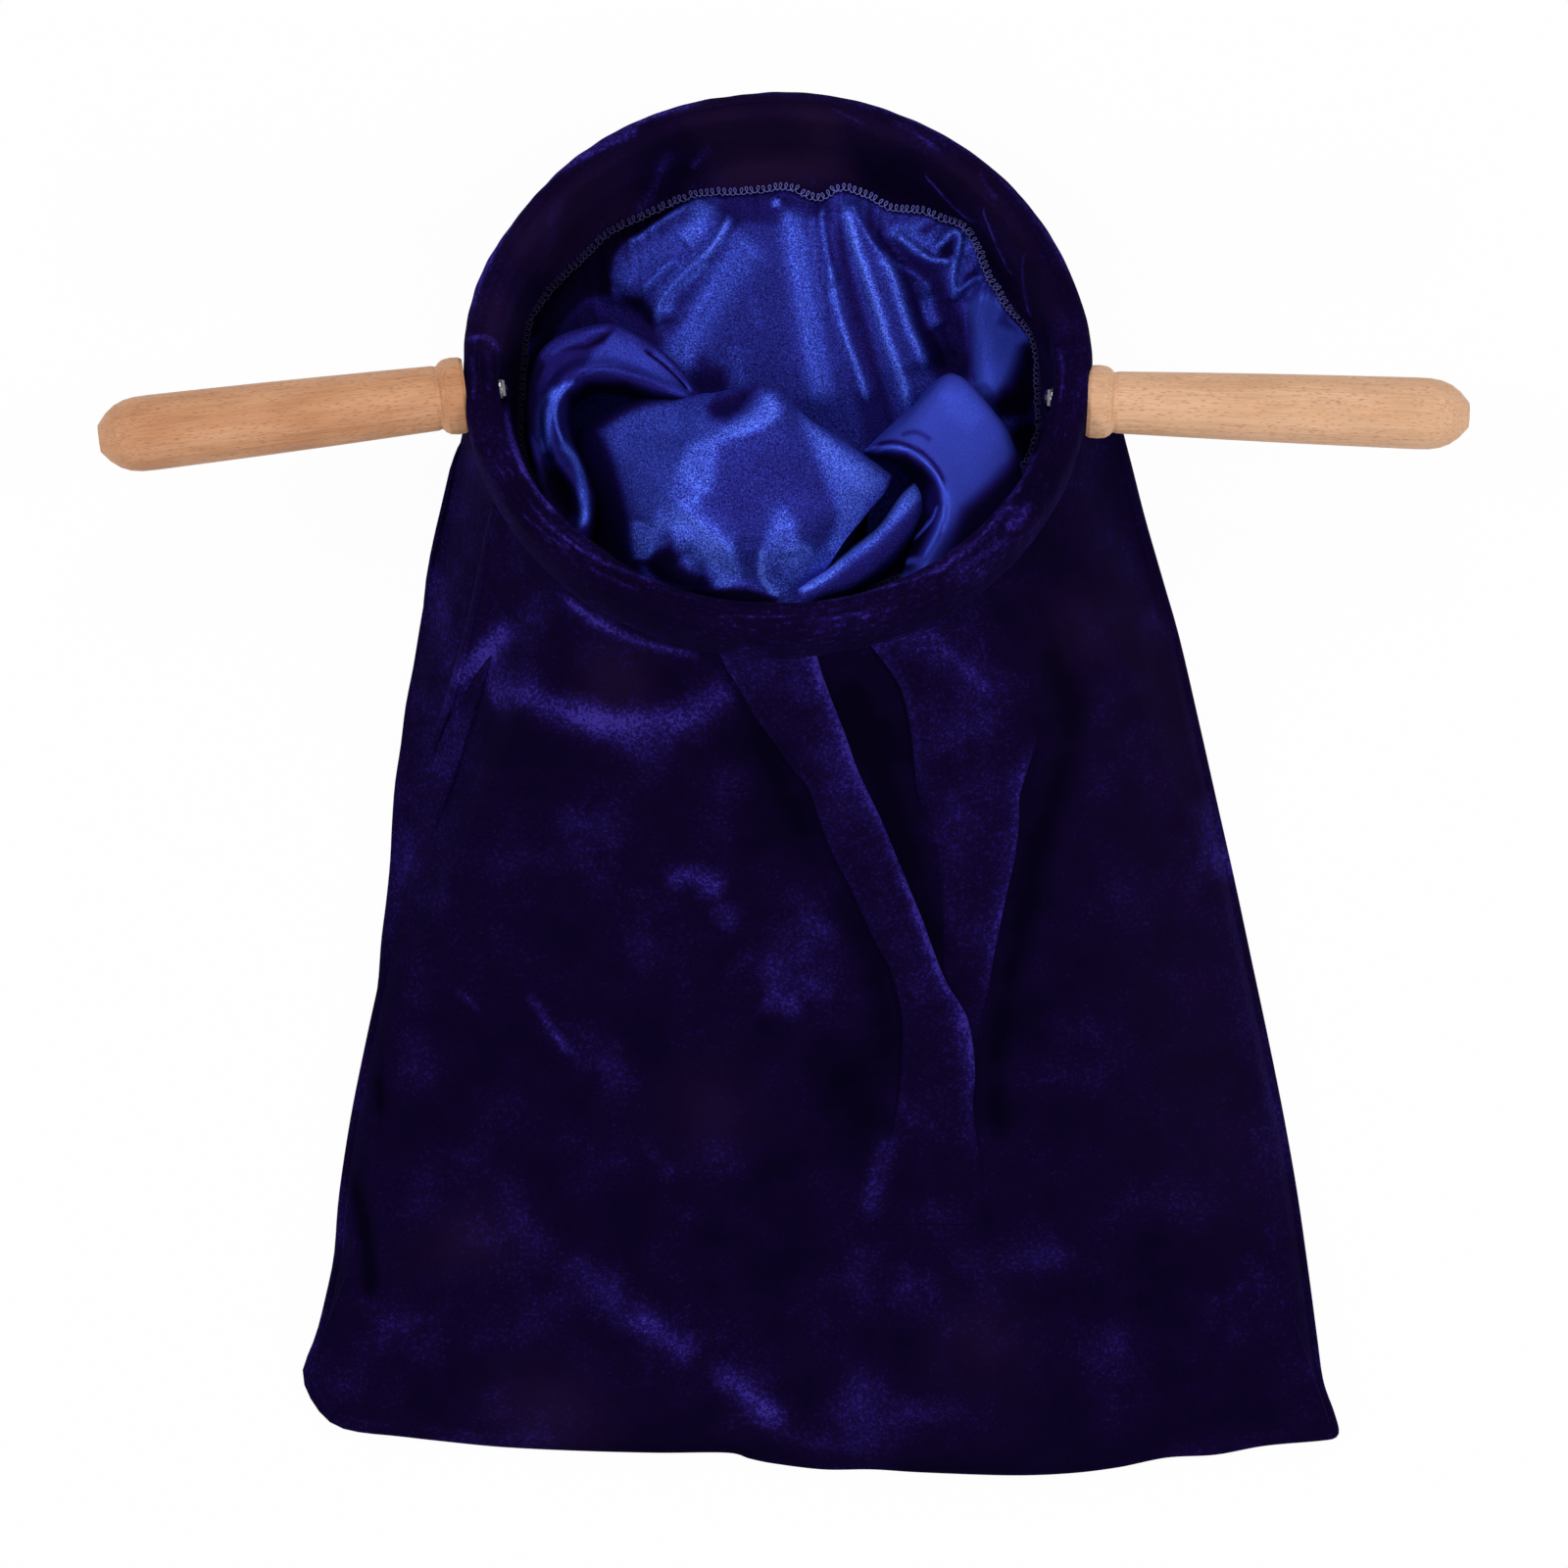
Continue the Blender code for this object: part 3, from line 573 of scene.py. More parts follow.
# %% Satin
def make_satin():
    """Blue satin: its colour carries painted highlights and painted shade, and slub says how strongly its threads
    show.
    """
    made, tree, shader, place = new_material("satin")
    lustre = attribute(tree, "lustre")
    weave = use_group(tree, speckle, Place=place, Scale=1750.0, Low=-0.58, High=0.58)
    grain = maths(tree, "MULTIPLY", maths(tree, "MULTIPLY", weave["Tone"], lustre), attribute(tree, "slub"))
    stops = [
        (0.00, (0.0010, 0.0005, 0.0040)),
        (0.15, (0.0050, 0.0026, 0.0330)),
        (0.30, (0.0105, 0.0072, 0.0980)),
        (0.45, (0.0175, 0.0190, 0.2050)),
        (0.62, (0.0300, 0.0460, 0.3650)),
        (0.80, (0.0560, 0.0980, 0.7000)),
        (1.00, (0.1280, 0.2180, 1.0000)),
    ]
    settle(shader, Base_Color=ramp(tree, maths(tree, "ADD", lustre, grain), stops))
    settle(shader, Metallic=0.22, Roughness=0.36, IOR=1.02, Specular_Tint=(0.16, 0.25, 1.0))
    bumped(tree, shader, weave["Height"], 0.35, 0.0003)
    return made


satin = make_satin()
print("satin made")


# %% Beech
def make_beech(name, centre, direction, tone, dark):
    """Wood whose grain runs along a direction through a centre."""
    made, tree, shader, place = new_material(name)
    centred = node(tree, "ShaderNodeVectorMath", operation="SUBTRACT")
    feed(centred.inputs[0], place)
    feed(centred.inputs[1], centre)
    turn = Vector(direction).to_track_quat("X", "Z").inverted().to_euler()
    local = node(tree, "ShaderNodeVectorRotate", rotation_type="EULER_XYZ", Vector=centred.outputs[0], Rotation=turn)
    grain = use_group(tree, wood_grain, Place=local.outputs[0], Light_wood=tone, Dark_wood=dark)
    settle(shader, Base_Color=grain["Colour"], Roughness=0.55, Specular_IOR_Level=0.35)
    settle(shader, Coat_Weight=0.04, Coat_Roughness=0.30)
    bumped(tree, shader, grain["Height"], 0.15, 0.0002)
    return made


LEFT_FACE, LEFT_WAY = (-0.10392, 0.12715, 0.06035), (-0.99051, -0.12364, 0.06004)
RIGHT_FACE, RIGHT_WAY = (0.09879, 0.12492, 0.06144), (0.99912, -0.03767, 0.01829)
beech_left = make_beech("beech_left", LEFT_FACE, LEFT_WAY, (0.690, 0.360, 0.195), (0.520, 0.228, 0.102))
# The right handle's beech is set lighter than the left's, partly as painted light for the brighter light that falls on
# it.
beech_right = make_beech("beech_right", RIGHT_FACE, RIGHT_WAY, (0.800, 0.475, 0.290), (0.700, 0.390, 0.218))
hoop_wood = make_beech("hoop_wood", (0, 0, 0), (1, 0, 0), (0.56, 0.40, 0.24), (0.50, 0.34, 0.19))
print("beech made")


# %% Steel and thread
def make_plain(name, colour, scale, low, high, distance, **values):
    """A finish with one colour, a little speckled; colour is a function of the tree and the place."""
    made, tree, shader, place = new_material(name)
    marks = use_group(tree, speckle, Place=place, Scale=scale, Low=low, High=high)
    tone = colour(tree, place) if callable(colour) else colour
    settle(shader, Base_Color=blend_colour(tree, 1.0, tone, marks["Tone"], "MULTIPLY"), **values)
    bumped(tree, shader, marks["Height"], 0.2, distance)
    return made


def seam_blue(tree, place):
    """The seam thread's blue, darker towards its left and right ends and along the near side."""
    apart = node(tree, "ShaderNodeSeparateXYZ", Vector=place)
    across = maths(tree, "MULTIPLY_ADD", apart.outputs["X"], 5.0, 0.5)
    stops = [
        (0.12, (0.026, 0.018, 0.060)),
        (0.30, (0.070, 0.062, 0.230)),
        (0.45, (0.130, 0.130, 0.450)),
        (0.75, (0.170, 0.180, 0.620)),
        (0.88, (0.120, 0.115, 0.400)),
        (0.92, (0.040, 0.032, 0.110)),
    ]
    near = maths(tree, "MULTIPLY_ADD", apart.outputs["Y"], 25.0, -2.1)
    return blend_colour(tree, 1.0, ramp(tree, across, stops), ramp(tree, near, [(0.0, 0.12), (1.0, 1.0)]), "MULTIPLY")


steel = make_plain(
    "steel", (0.170, 0.170, 0.190), 1400.0, 0.8, 1.1, 0.0001, Roughness=0.18, Metallic=1.0, Specular_IOR_Level=0.5
)
dark_thread = make_plain(
    "dark_thread", (0.0060, 0.0020, 0.0300), 2500.0, 0.8, 1.1, 0.0001, Roughness=0.8, Specular_IOR_Level=0.05
)
thread = make_plain("thread", seam_blue, 2500.0, 0.7, 1.2, 0.0001, Roughness=0.6, Specular_IOR_Level=0.06)
looks = {"handle_left": beech_left, "handle_right": beech_right, "hoop": hoop_wood}
looks |= {name + side: steel for name in ("screw", "washer") for side in ("_left", "_right")}
for name, look in looks.items():
    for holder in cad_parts[name].material_slots:
        holder.material = look
print("model pieces finished")

# %% [markdown]
# ## The seam line
#
# Inside the mouth an overlocked edge joins the velvet facing to the satin. It wanders, because the
# satin is gathered into it. We note how far it lies from the hoop's centre at a few angles, and a
# periodic table does the rest.

# %% Where the overlocked seam runs
SEAM_REACH = places("""
    2.9,0.0864 7.3,0.0864 11.2,0.0855 14.1,0.0839 17,0.0817 19.8,0.0807 23.6,0.0805 27.3,0.0801 30.8,0.0807
    34.4,0.0825 38.5,0.0841 41.6,0.085 44.4,0.084 47.4,0.0814 50.2,0.081 53.5,0.0789 56.7,0.0764 59.7,0.0748
    62.8,0.0751 66.2,0.0754 69.7,0.0755 72.8,0.0753 75.1,0.0733 76.7,0.0705 79.2,0.0691 82,0.07 84.9,0.0715
    88.1,0.0723 92,0.0716 96,0.0712 100,0.0715 103.9,0.0722 107.6,0.0735 110.8,0.0746 114.1,0.0747 118.2,0.0749
    122.4,0.0752 126.6,0.0758 130.6,0.0771 134.8,0.0782 138.9,0.0787 143.5,0.0786 147.8,0.0792 165.5,0.0847
    170.7,0.0843 177.1,0.0837 184.7,0.0843 190.8,0.0861 196.7,0.0881 201.1,0.0889 204.9,0.0892 212.2,0.0882
    222.2,0.0884 250,0.086 290,0.086 345.9,0.0891 351.8,0.0872 357.9,0.0862
""")
FLOOR = 0.0046
SEAM_RADIUS, SEAM_DEPTH = 0.0845, 0.0262


def seam_line(angle):
    """The overlocked seam's place at each angle."""
    reach_table = np.array([(a + turn, r) for turn in (-360, 0, 360) for a, r in SEAM_REACH])
    reach = np.interp(np.degrees(angle) % 360, reach_table[:, 0], reach_table[:, 1])
    height = RIM_CENTRE[2] - SEAM_RADIUS * np.sin(angle) * math.sin(TILT) - SEAM_DEPTH
    x = RIM_CENTRE[0] + reach * np.cos(angle)
    y = RIM_CENTRE[1] + reach * np.sin(angle) * math.cos(TILT)
    return np.stack([x, y, soft_floor(height, FLOOR, 0.002)], axis=-1)


print("seam at the far side", seam_line(np.array([math.pi / 2])).round(4))

# %% [markdown]
# ## The band
#
# One strip of velvet goes up the outside of the hoop, over its top, down the inside and on to the
# overlocked seam. On the real bag this is the bag's own cloth, folded over and stitched. Drawing it as
# one strip keeps the pile unbroken where the eye follows it round the edge. The profile gives radius
# and level; the creases give two widths and a height in mm; the painted highlights and shade, and the
# painted dull reddish sheen, give a tone and a width in pixels.

# %% Band
BAND_COLUMNS = 1000
PROFILE_ROWS, FACING_ROWS = 56, 17
BAND_THICKNESS = 0.0014
FACING_RADIUS, FACING_LEVEL = 0.0912, -0.0085
BAND_PROFILE = places("""
    0.101,-0.0096 0.1021,-0.0085 0.1026,-0.005 0.1027,0.001 0.1023,0.006 0.1006,0.009 0.0984,0.0101 0.0972,0.0099
    0.0966,0.0094 0.096,0.0099 0.0945,0.0103 0.0924,0.0097 0.091,0.008 0.0905,0.004 0.0905,-0.002 0.0907,-0.006
    0.0912,-0.0085
""")
BAND_CREASES = table("""
    1.4 0.9 1.2 941,174 955,187 975,209 999,229
    1.4 0.9 1.2 1003,207 1010,226 1022,255 1037,285
    1.2 0.9 1.1 1048,252 1046,275 1048,300 1054,327
    2.5 1.4 1.6 640,216 655,208 664,196 670,180 676,163 684,150
    2.2 1.4 1.2 703,172 715,158 727,147
    3 2 1.4 548,285 558,245 566,220 578,196
    1 1.6 1 475,349 490,344 504,350 512,364
""")
BAND_PAINTED_LIGHT = table("""
    -0.22 11 868,148 930,150 965,190 992,228 940,206 890,192 862,182 868,148
    -0.242 7.7 1002,235 1020,262 1042,305 1030,305 1006,270 1002,235
    -0.198 9.9 695,130 716,142 706,176 684,200 690,165 695,130
    -0.264 9.9 512,372 548,340 540,420 530,470 518,430 512,372
    0.462 3.3 476,340 488,292 510,246 540,203 580,167 620,141 660,121 700,108 740,100
    0.506 4.95 572,174 600,156 630,143 655,131
    0.264 2.75 740,99 790,96 840,100 890,108 940,126 990,155 1040,202 1080,258 1102,315
    0.22 5.5 640,216 655,208 664,196 670,180 676,163 684,150
    0.176 4.4 703,172 715,158 727,147
    0.176 6.6 548,285 558,245 566,220 578,196
    0.55 1.21 941,174 955,187 975,209 999,229
    0.506 1.21 1003,207 1010,226 1022,255 1037,285
    0.462 1.32 1048,252 1046,275 1048,300 1054,327
    0.33 1.65 845,110 862,117 885,128
    0.286 2.2 905,122 928,132 950,147 962,160
    0.264 1.65 998,172 1008,192 1018,204
    0.374 1.43 1081,352 1084,380 1081,415
    0.374 3.3 476,349 490,344 503,350 511,364
    0.286 2.75 480,360 484,385 483,410
    0.22 2.2 496,354 500,378 499,402
    0.506 3.52 515,410 520,440 532,474 550,504 570,528
    0.462 1.76 530,497 550,525 576,549 610,571 650,587 700,600 750,608 800,613
    0.286 1.65 800,613 850,610 900,600 950,584 987,560 1016,530 1036,500
    0.308 1.76 533,525 558,546 582,562
    0.33 1.76 598,577 625,591 656,604
    0.242 1.65 640,584 680,602 722,614
    0.286 1.32 748,627 775,629 806,629
    0.286 1.32 842,631 868,628 888,624
    0.33 4.4 1015,528 1030,518 1040,524
    0.44 4.4 1026,514 1042,488 1056,460
    0.374 5.5 1024,540 1040,530 1052,510
    0.22 2.2 985,577 1010,562 1032,545
""")
BAND_DULL_SHEEN = table("""
    0.85 22 690,112 800,102 856,116 868,182 760,192 700,186 690,112
    0.45 18 486,310 520,236 600,172 690,122 690,194 600,250 550,300 520,360 492,350 486,310
    0.35 18 868,112 940,134 1000,175 1050,240 1080,320 1060,330 1010,220 930,160 868,150 868,112
""")


def bump_round(degrees, middle, width):
    """A soft bump, 1 high, at a direction round the hoop."""
    return np.exp(-(((degrees - middle) / width) ** 2))


band_angles = np.linspace(0, 2 * math.pi, BAND_COLUMNS, endpoint=False)
profile = curve_through(BAND_PROFILE, PROFILE_ROWS)
turns = np.repeat(band_angles[None, :], PROFILE_ROWS, axis=0)
outward = np.gradient(profile, axis=0)
outward = np.stack([-outward[:, 1], outward[:, 0]], axis=1)
outward /= -np.linalg.norm(outward, axis=1, keepdims=True)
squeeze = 0.0009 * bump_round(np.degrees(turns), 143, 24) + 0.0006 * bump_round(np.degrees(turns), 38, 22)
puckers = 0.00013 * ripples(turns * 0.1, profile[:, :1].cumsum(axis=0) * 0.004, 0.011, 5)
puckers += 0.00028 * ripples(turns * 0.1, profile[:, 1:] * 0.5, 0.045, 6)
radius = profile[:, :1] - squeeze + outward[:, :1] * puckers
level = profile[:, 1:] + outward[:, 1:] * puckers
over_hoop = rim_point(turns, radius, level)

start = rim_point(band_angles, FACING_RADIUS, FACING_LEVEL)
finish_line = seam_line(band_angles)
far = smooth((np.sin(band_angles) - 0.2) / 0.5)
facing = []
for share in np.linspace(0, 1, FACING_ROWS + 1)[1:]:
    line = start + (finish_line - start) * share
    sag = np.sin(math.pi * share**0.8) * (0.0012 + 0.0030 * far)
    line[:, 2] = np.maximum(line[:, 2] - sag, FLOOR - 0.0002)
    line[:, 2] += 0.0009 * math.sin(math.pi * share) * ripples(band_angles * 0.09, share * 0.02, 0.030, 8)
    facing.append(line)
band_grid = np.vstack([over_hoop, np.array(facing)])

# The grid's normals are turned so that they point up on top of the hoop's near side.
TOP_ROW, NEAR_COLUMN = 28, 750
band_out = normals(band_grid, True)
band_out *= np.sign(band_out[TOP_ROW, NEAR_COLUMN, 2])
band_x, band_y = on_plan(band_grid)
band_grid += folds(band_x, band_y, BAND_CREASES, 0.15)[..., None] * band_out

# Painted light on the band: painted highlights and shade from the table, weaker on faces that turn away from above,
# painted highlight streaks along the near side, and a painted dull reddish sheen.
near_side = smooth(0.5 - np.sin(band_angles))
sheen_streaks = ripples(band_angles * 0.1, np.arange(len(band_grid))[:, None] * 0.0033, 0.0060, 13)
nap = painted(band_x, band_y, 0.0, BAND_PAINTED_LIGHT) * (0.25 + 0.75 * smooth((band_out[..., 2] + 0.05) / 0.3))
nap += 0.24 * smooth(sheen_streaks - 0.30) * near_side + 0.05 * smooth(ripples(band_x, band_y, 0.02, 11) - 0.2)
dusk = painted(band_x, band_y, 0.0, BAND_DULL_SHEEN)
dusk *= smooth(0.85 + 0.6 * ripples(band_grid[..., 0], band_grid[..., 1], 0.05, 12))
band = cloth("velvet_band", band_grid, BAND_THICKNESS, velvet, ring=True, coarse=4, nap=nap, dusk=dusk)
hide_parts("rim_casing", "rim_facing")
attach(band, "rim")
print("band", len(band.data.polygons), "faces")

# %% [markdown]
# ## The upper side of the bag
#
# The front panel hangs from the near half of the hoop like one side of a tent, and lies down towards the
# hem. A forked pleat starts below the hoop, and its two arms join lower down. The folds give a height
# and a width in mm and a taper; the painted highlights and shade, and the painted dull reddish sheen,
# give a tone, a width in mm and a taper.

# %% Outlines on the table
FRONT_EDGE = places("""
    509,520 497,570 480,640 455,720 430,780 413,840 403,900 394,960 387,1000 374,1060 358,1140 346,1220 341,1280
    333,1320 323,1360 309,1398 314,1420 326,1440 342,1454 366,1461 405,1465 440,1469 510,1476 590,1480 670,1482
    742,1482 765,1488 790,1493 840,1499 890,1499 940,1502 1030,1505 1090,1503 1140,1497 1190,1487 1240,1484
    1290,1475 1345,1470 1362,1467 1366,1459 1361,1440 1350,1408 1344,1366 1336,1305 1324,1220 1310,1140 1294,1060
    1277,980 1260,900 1242,820 1224,740 1203,650 1185,590 1166,530 1149,470 1135,425 1118,395
""")
front_foot_line = curve_through([seen(u, v, 0.002)[:2] for u, v in FRONT_EDGE], 1200)


def along_line(line, shares):
    """Places at given shares of a line's length."""
    run = run_along(line)
    return np.stack([np.interp(shares, run / run[-1], line[:, k]) for k in range(2)], axis=1)


# %% Height and painted light of the upper side
FRONT_FOLDS = table("""
    3.2 6 0.25 505,716 545,717 582,730 620,741 663,737 709,725 745,705
    -3.4 12 0.25 540,668 600,695 670,700 720,690
    -2.6 7 0.25 868,700 885,770 915,850 945,930
    -3 8 0.25 1055,640 1090,730 1075,830 1045,900 1030,1000
    1.8 16 0.25 1140,560 1180,760 1215,950 1250,1200
    1.8 9 0.25 440,860 520,980 571,1056 650,1149
    1.6 11 0.25 620,820 690,895 760,990 830,1060
    3 10 0.25 545,1261 601,1299 657,1347 695,1377 751,1411 822,1463
    -2.4 15 0.25 640,1200 740,1290 840,1370
    2.2 10 0.25 1130,1240 1150,1320 1100,1400 1000,1450
    -2.6 3.5 0.25 357,1190 373,1260 379,1330
    2.6 5 0.25 912,1110 900,1179 885,1224 878,1262
""")
FRONT_PAINTED_LIGHT = table("""
    0.44 5.8 0.08 490,706 540,712 566,722 600,734 640,742 680,738 712,727 755,698
    0.18 5.2 0.25 580,718 620,729 660,730 700,720
    0.22 6.2 0.3 500,652 540,645 575,650
    0.2 5 0.25 485,700 500,680 515,662
    0.12 13 0.25 455,770 470,820 500,880 510,960 530,1020
    0.3 7.5 0.25 1225,800 1238,850 1250,910
    0.2 6 0.25 748,970 765,985
    0.16 5.5 0.25 820,985 835,1008 855,1010
    0.16 7 0.25 770,1430 820,1470 860,1480
    0.22 4 0.25 1165,620 1178,640 1190,660
    0.14 5 0.25 620,760 660,764 700,754
    0.08 10 0.25 600,790 650,780 700,790
    0.44 4.4 0.2 538,640 510,656 493,672 477,690 464,712
    0.22 4 0.25 492,700 474,716 458,730
    0.42 1.6 0.15 573,607 600,630 633,650 667,663 700,671 724,674
    0.16 6 0.25 545,612 556,628 552,645
    0.28 2 0.15 869,675 897,662 939,652 953,662 973,682 994,703 1008,716
    0.34 4.8 0.25 905,674 925,664 942,670 962,690
    0.2 3 0.25 802,690 815,706 822,730
    0.42 4.2 0.25 676,905 700,892 722,900 745,915
    0.22 5 0.25 736,915 742,935 736,950
    0.22 8.5 0.25 752,978 790,985 830,962 860,930
    0.3 5.5 0.25 775,1010 800,1026 822,1018
    0.14 10 0.25 560,830 610,850 650,860
    0.32 1.2 0.25 463,1007 480,1020 493,1036
    0.38 1.8 0.25 534,1005 553,1030 571,1058 590,1080
    0.15 8.5 0.25 415,1040 420,1080 430,1120
    0.15 5.5 0.25 610,1065 628,1095 640,1123
    0.18 3 0.25 650,1149 676,1187 697,1207
    0.24 7.5 0.25 480,1215 520,1225 545,1262 601,1299 657,1347
    0.34 5 0.25 640,1330 680,1362 712,1390
    0.34 5.2 0.25 716,1392 748,1410 782,1436 812,1452
    0.18 7.5 0.25 800,1425 870,1440 960,1440 1030,1430
    0.16 6 0.25 380,1372 400,1352 440,1360 425,1400
    0.12 5.5 0.25 1128,1250 1148,1320 1118,1390 1090,1420
    0.16 6 0.25 1010,1270 1050,1285 1100,1275
    0.1 10 0.25 1250,1290 1290,1330 1240,1360
    0.1 6 0.25 1102,862 1129,870 1140,900
    0.32 4.2 0.25 908,1140 898,1185 888,1222 880,1252
    0.1 3 0.25 1183,560 1210,700 1240,850 1270,1000 1300,1140 1330,1300
    -0.3 6 0.25 745,712 775,760 805,812 835,880
    -0.26 5 0.25 850,900 880,960 900,1020 905,1090
    -0.34 6 0.1 860,690 880,760 910,830 940,920 958,985
    -0.2 6 0.25 885,735 905,760 915,790
    -0.32 5.2 0.1 1050,630 1075,690 1092,734 1080,790 1058,860 1044,930 1026,1010 1014,1090 1020,1180
    -0.2 12 0.25 800,1060 850,1090 880,1130 860,1200
    -0.14 12 0.25 760,1180 800,1240 830,1310
    -0.5 2.2 0.1 357,1196 373,1250 379,1326
    -0.3 1.8 0.25 385,1088 392,1144
    -0.16 11 0.35 755,800 775,835 790,880
    -0.14 8 0.35 672,925 684,950 680,975
    -0.2 12 0.35 800,1040 850,1050 880,1090 830,1150 790,1130
    -0.18 10 0.35 1040,1000 1048,1060 1066,1100
    -0.12 12 0.35 1060,900 1066,950 1070,1000
    -0.14 13 0.35 1000,1350 1070,1350 1140,1390
    -0.12 15 0.35 520,1100 560,1110 580,1160
    -0.1 10 0.35 520,1240 560,1262 590,1290
    -0.12 13 0.35 660,1270 700,1290 760,1330
    -0.1 11 0.35 560,1340 600,1370 680,1400
    -0.1 12 0.35 1110,700 1120,760 1130,800
    -0.08 14 0.35 1200,1000 1220,1100 1200,1220
    -0.1 12 0.35 1260,1340 1290,1370 1300,1400
    -0.1 10 0.35 880,1400 920,1390 960,1410
    -0.14 13 0.35 1050,540 1090,590 1130,640
    -0.12 10 0.35 1110,430 1130,500 1150,560
    -0.12 8 0.35 850,650 870,740 880,800
    -0.12 8 0.35 955,820 965,930 985,1060
    -0.14 12 0.35 790,990 800,1060 790,1120 730,1160
    -0.12 12 0.35 920,1320 980,1270 1060,1270
    -0.14 10 0.35 770,1430 820,1410 880,1405
    -0.12 10 0.35 1130,1370 1150,1340 1190,1220
    -0.1 9 0.35 560,1240 600,1290 640,1290
    -0.16 4 0.35 430,1468 600,1480 742,1482 890,1497 1090,1503 1240,1484
    0.12 6 0.35 425,790 430,830 470,880
    0.14 6 0.35 610,1340 650,1350 680,1370
    0.12 6 0.35 700,730 712,750 706,770
    0.14 7 0.35 412,1050 440,1080 430,1130
    0.1 7 0.35 960,1455 1000,1460 1080,1440
""")
FRONT_DULL_SHEEN = table("""
    0.4 12 0.5 570,688 630,696 700,700
    0.3 15 0.5 440,1220 470,1260 480,1320
    0.34 14 0.5 470,1400 570,1440 660,1455
    0.28 15 0.5 670,1070 730,1140 760,1200
    0.24 15 0.5 930,1340 1000,1370 1080,1380
    0.12 28 0.2 1130,560 1180,760 1210,920 1240,1120 1270,1330
    0.25 12 0.4 1060,590 1100,640 1110,700
""")


def front_relief(x, y):
    """How the folds lift the upper side."""
    waves = 0.0008 * ripples(x, y, 0.070, 21) + 0.0003 * ripples(x, y, 0.026, 22)
    return strokes(x, y, FRONT_FOLDS, 0.001) + waves


# %% Upper side of the bag
FRONT_COLUMNS, FRONT_ROWS = 400, 200
HEM_ROLL = 0.0026
PANEL_LOW = 0.0062
PANEL_THICKNESS = 0.0022
CLOTH_SLOPE = 0.80
front_angles = np.linspace(math.radians(206), math.radians(361), FRONT_COLUMNS)
top_line = rim_point(front_angles, 0.1000, -0.0060)
drop_line = rim_point(front_angles, 0.1002, -0.0125)
angle_share = np.linspace(0, 1, FRONT_COLUMNS)
foot_share = np.interp(angle_share, [0.0, 0.10, 0.23, 0.76, 0.92, 1.0], [0.0, 0.10, 0.36, 0.665, 0.92, 1.0])
foot_line = along_line(front_foot_line, foot_share)
inward = np.gradient(foot_line, axis=0)
inward = np.column_stack([-inward[:, 1], inward[:, 0]]) / np.linalg.norm(inward, axis=1, keepdims=True)
foot_line = foot_line + HEM_ROLL * inward
reach = np.linalg.norm(foot_line - drop_line[:, :2], axis=1)


def resting_height(from_height, distance, low):
    """Cloth goes down from the hoop at a slope until it meets the layer at height low."""
    return soft_floor(from_height - CLOTH_SLOPE * distance, low, 0.004)


base = resting_height(drop_line[:, 2], reach, PANEL_LOW)
share = (np.linspace(0, 1, FRONT_ROWS) ** 1.08)[:, None]
xy = drop_line[None, :, :2] + (foot_line - drop_line[:, :2])[None] * share[..., None]
gone = share * reach
left = reach - gone
tented = np.clip(1 - gone / np.minimum(0.85 * reach, 0.150), 0, 1) ** 1.5
plump = 0.0108 * (1 - np.exp(-left / 0.016))
calm = smooth(gone / 0.012) * smooth(left / 0.016)
z = base + plump * (1 - tented) + (drop_line[:, 2] - base) * tented + front_relief(xy[..., 0], xy[..., 1]) * calm
rows = np.dstack([xy, z])
first = [top_line + (rows[0] - top_line) * part for part in (0.0, 0.5)]

# The hem rolls under, and where the panel hovers above the table its edge hangs down to it.
hang = np.maximum(base - PANEL_LOW, 0)
tuck = []
for turn, hung in ((25, 0.02), (50, 0.08), (75, 0.2), (86, 0.4), (94, 0.6), (102, 0.8), (125, 1.0)):
    out = HEM_ROLL * math.sin(math.radians(turn))
    low = 0.0028 * (1 - math.cos(math.radians(turn))) + hang * hung
    tuck.append(np.column_stack([foot_line - inward * out, base - low]))
front_grid = np.vstack([np.array(first), rows, np.array(tuck)])
x, y = front_grid[..., 0], front_grid[..., 1]
# The velvet's colour carries painted light: painted highlights and shade from the strokes, a painted highlight along
# the panel's edge that is stronger at the left fold and on the rolled hem, and a painted dull reddish sheen.
edge_highlight = np.zeros(front_grid.shape[:2])
edge_highlight[2 : 2 + FRONT_ROWS] = np.exp(-(((left - 0.0012) / 0.0016) ** 2))
edge_highlight[2 + FRONT_ROWS :] = 0.8
nap = strokes(x, y, FRONT_PAINTED_LIGHT) + 0.34 * edge_highlight * (0.10 + 0.30 * smooth((0.34 - angle_share) / 0.08))
dusk = strokes(x, y, FRONT_DULL_SHEEN)
front = cloth("velvet_front", front_grid, -PANEL_THICKNESS, velvet, coarse=4, nap=nap, dusk=dusk)
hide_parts("front_panel")
print("front", front_grid.shape, len(front.data.polygons), "faces")

# %% [markdown]
# ## The forked pleat
#
# Below the hoop the spare cloth lies over in a pleat like a Y. Its edges are crisp, so each arm is a
# strip of its own between two drawn edges. It rests on the panel, and its edges sink into the pile.

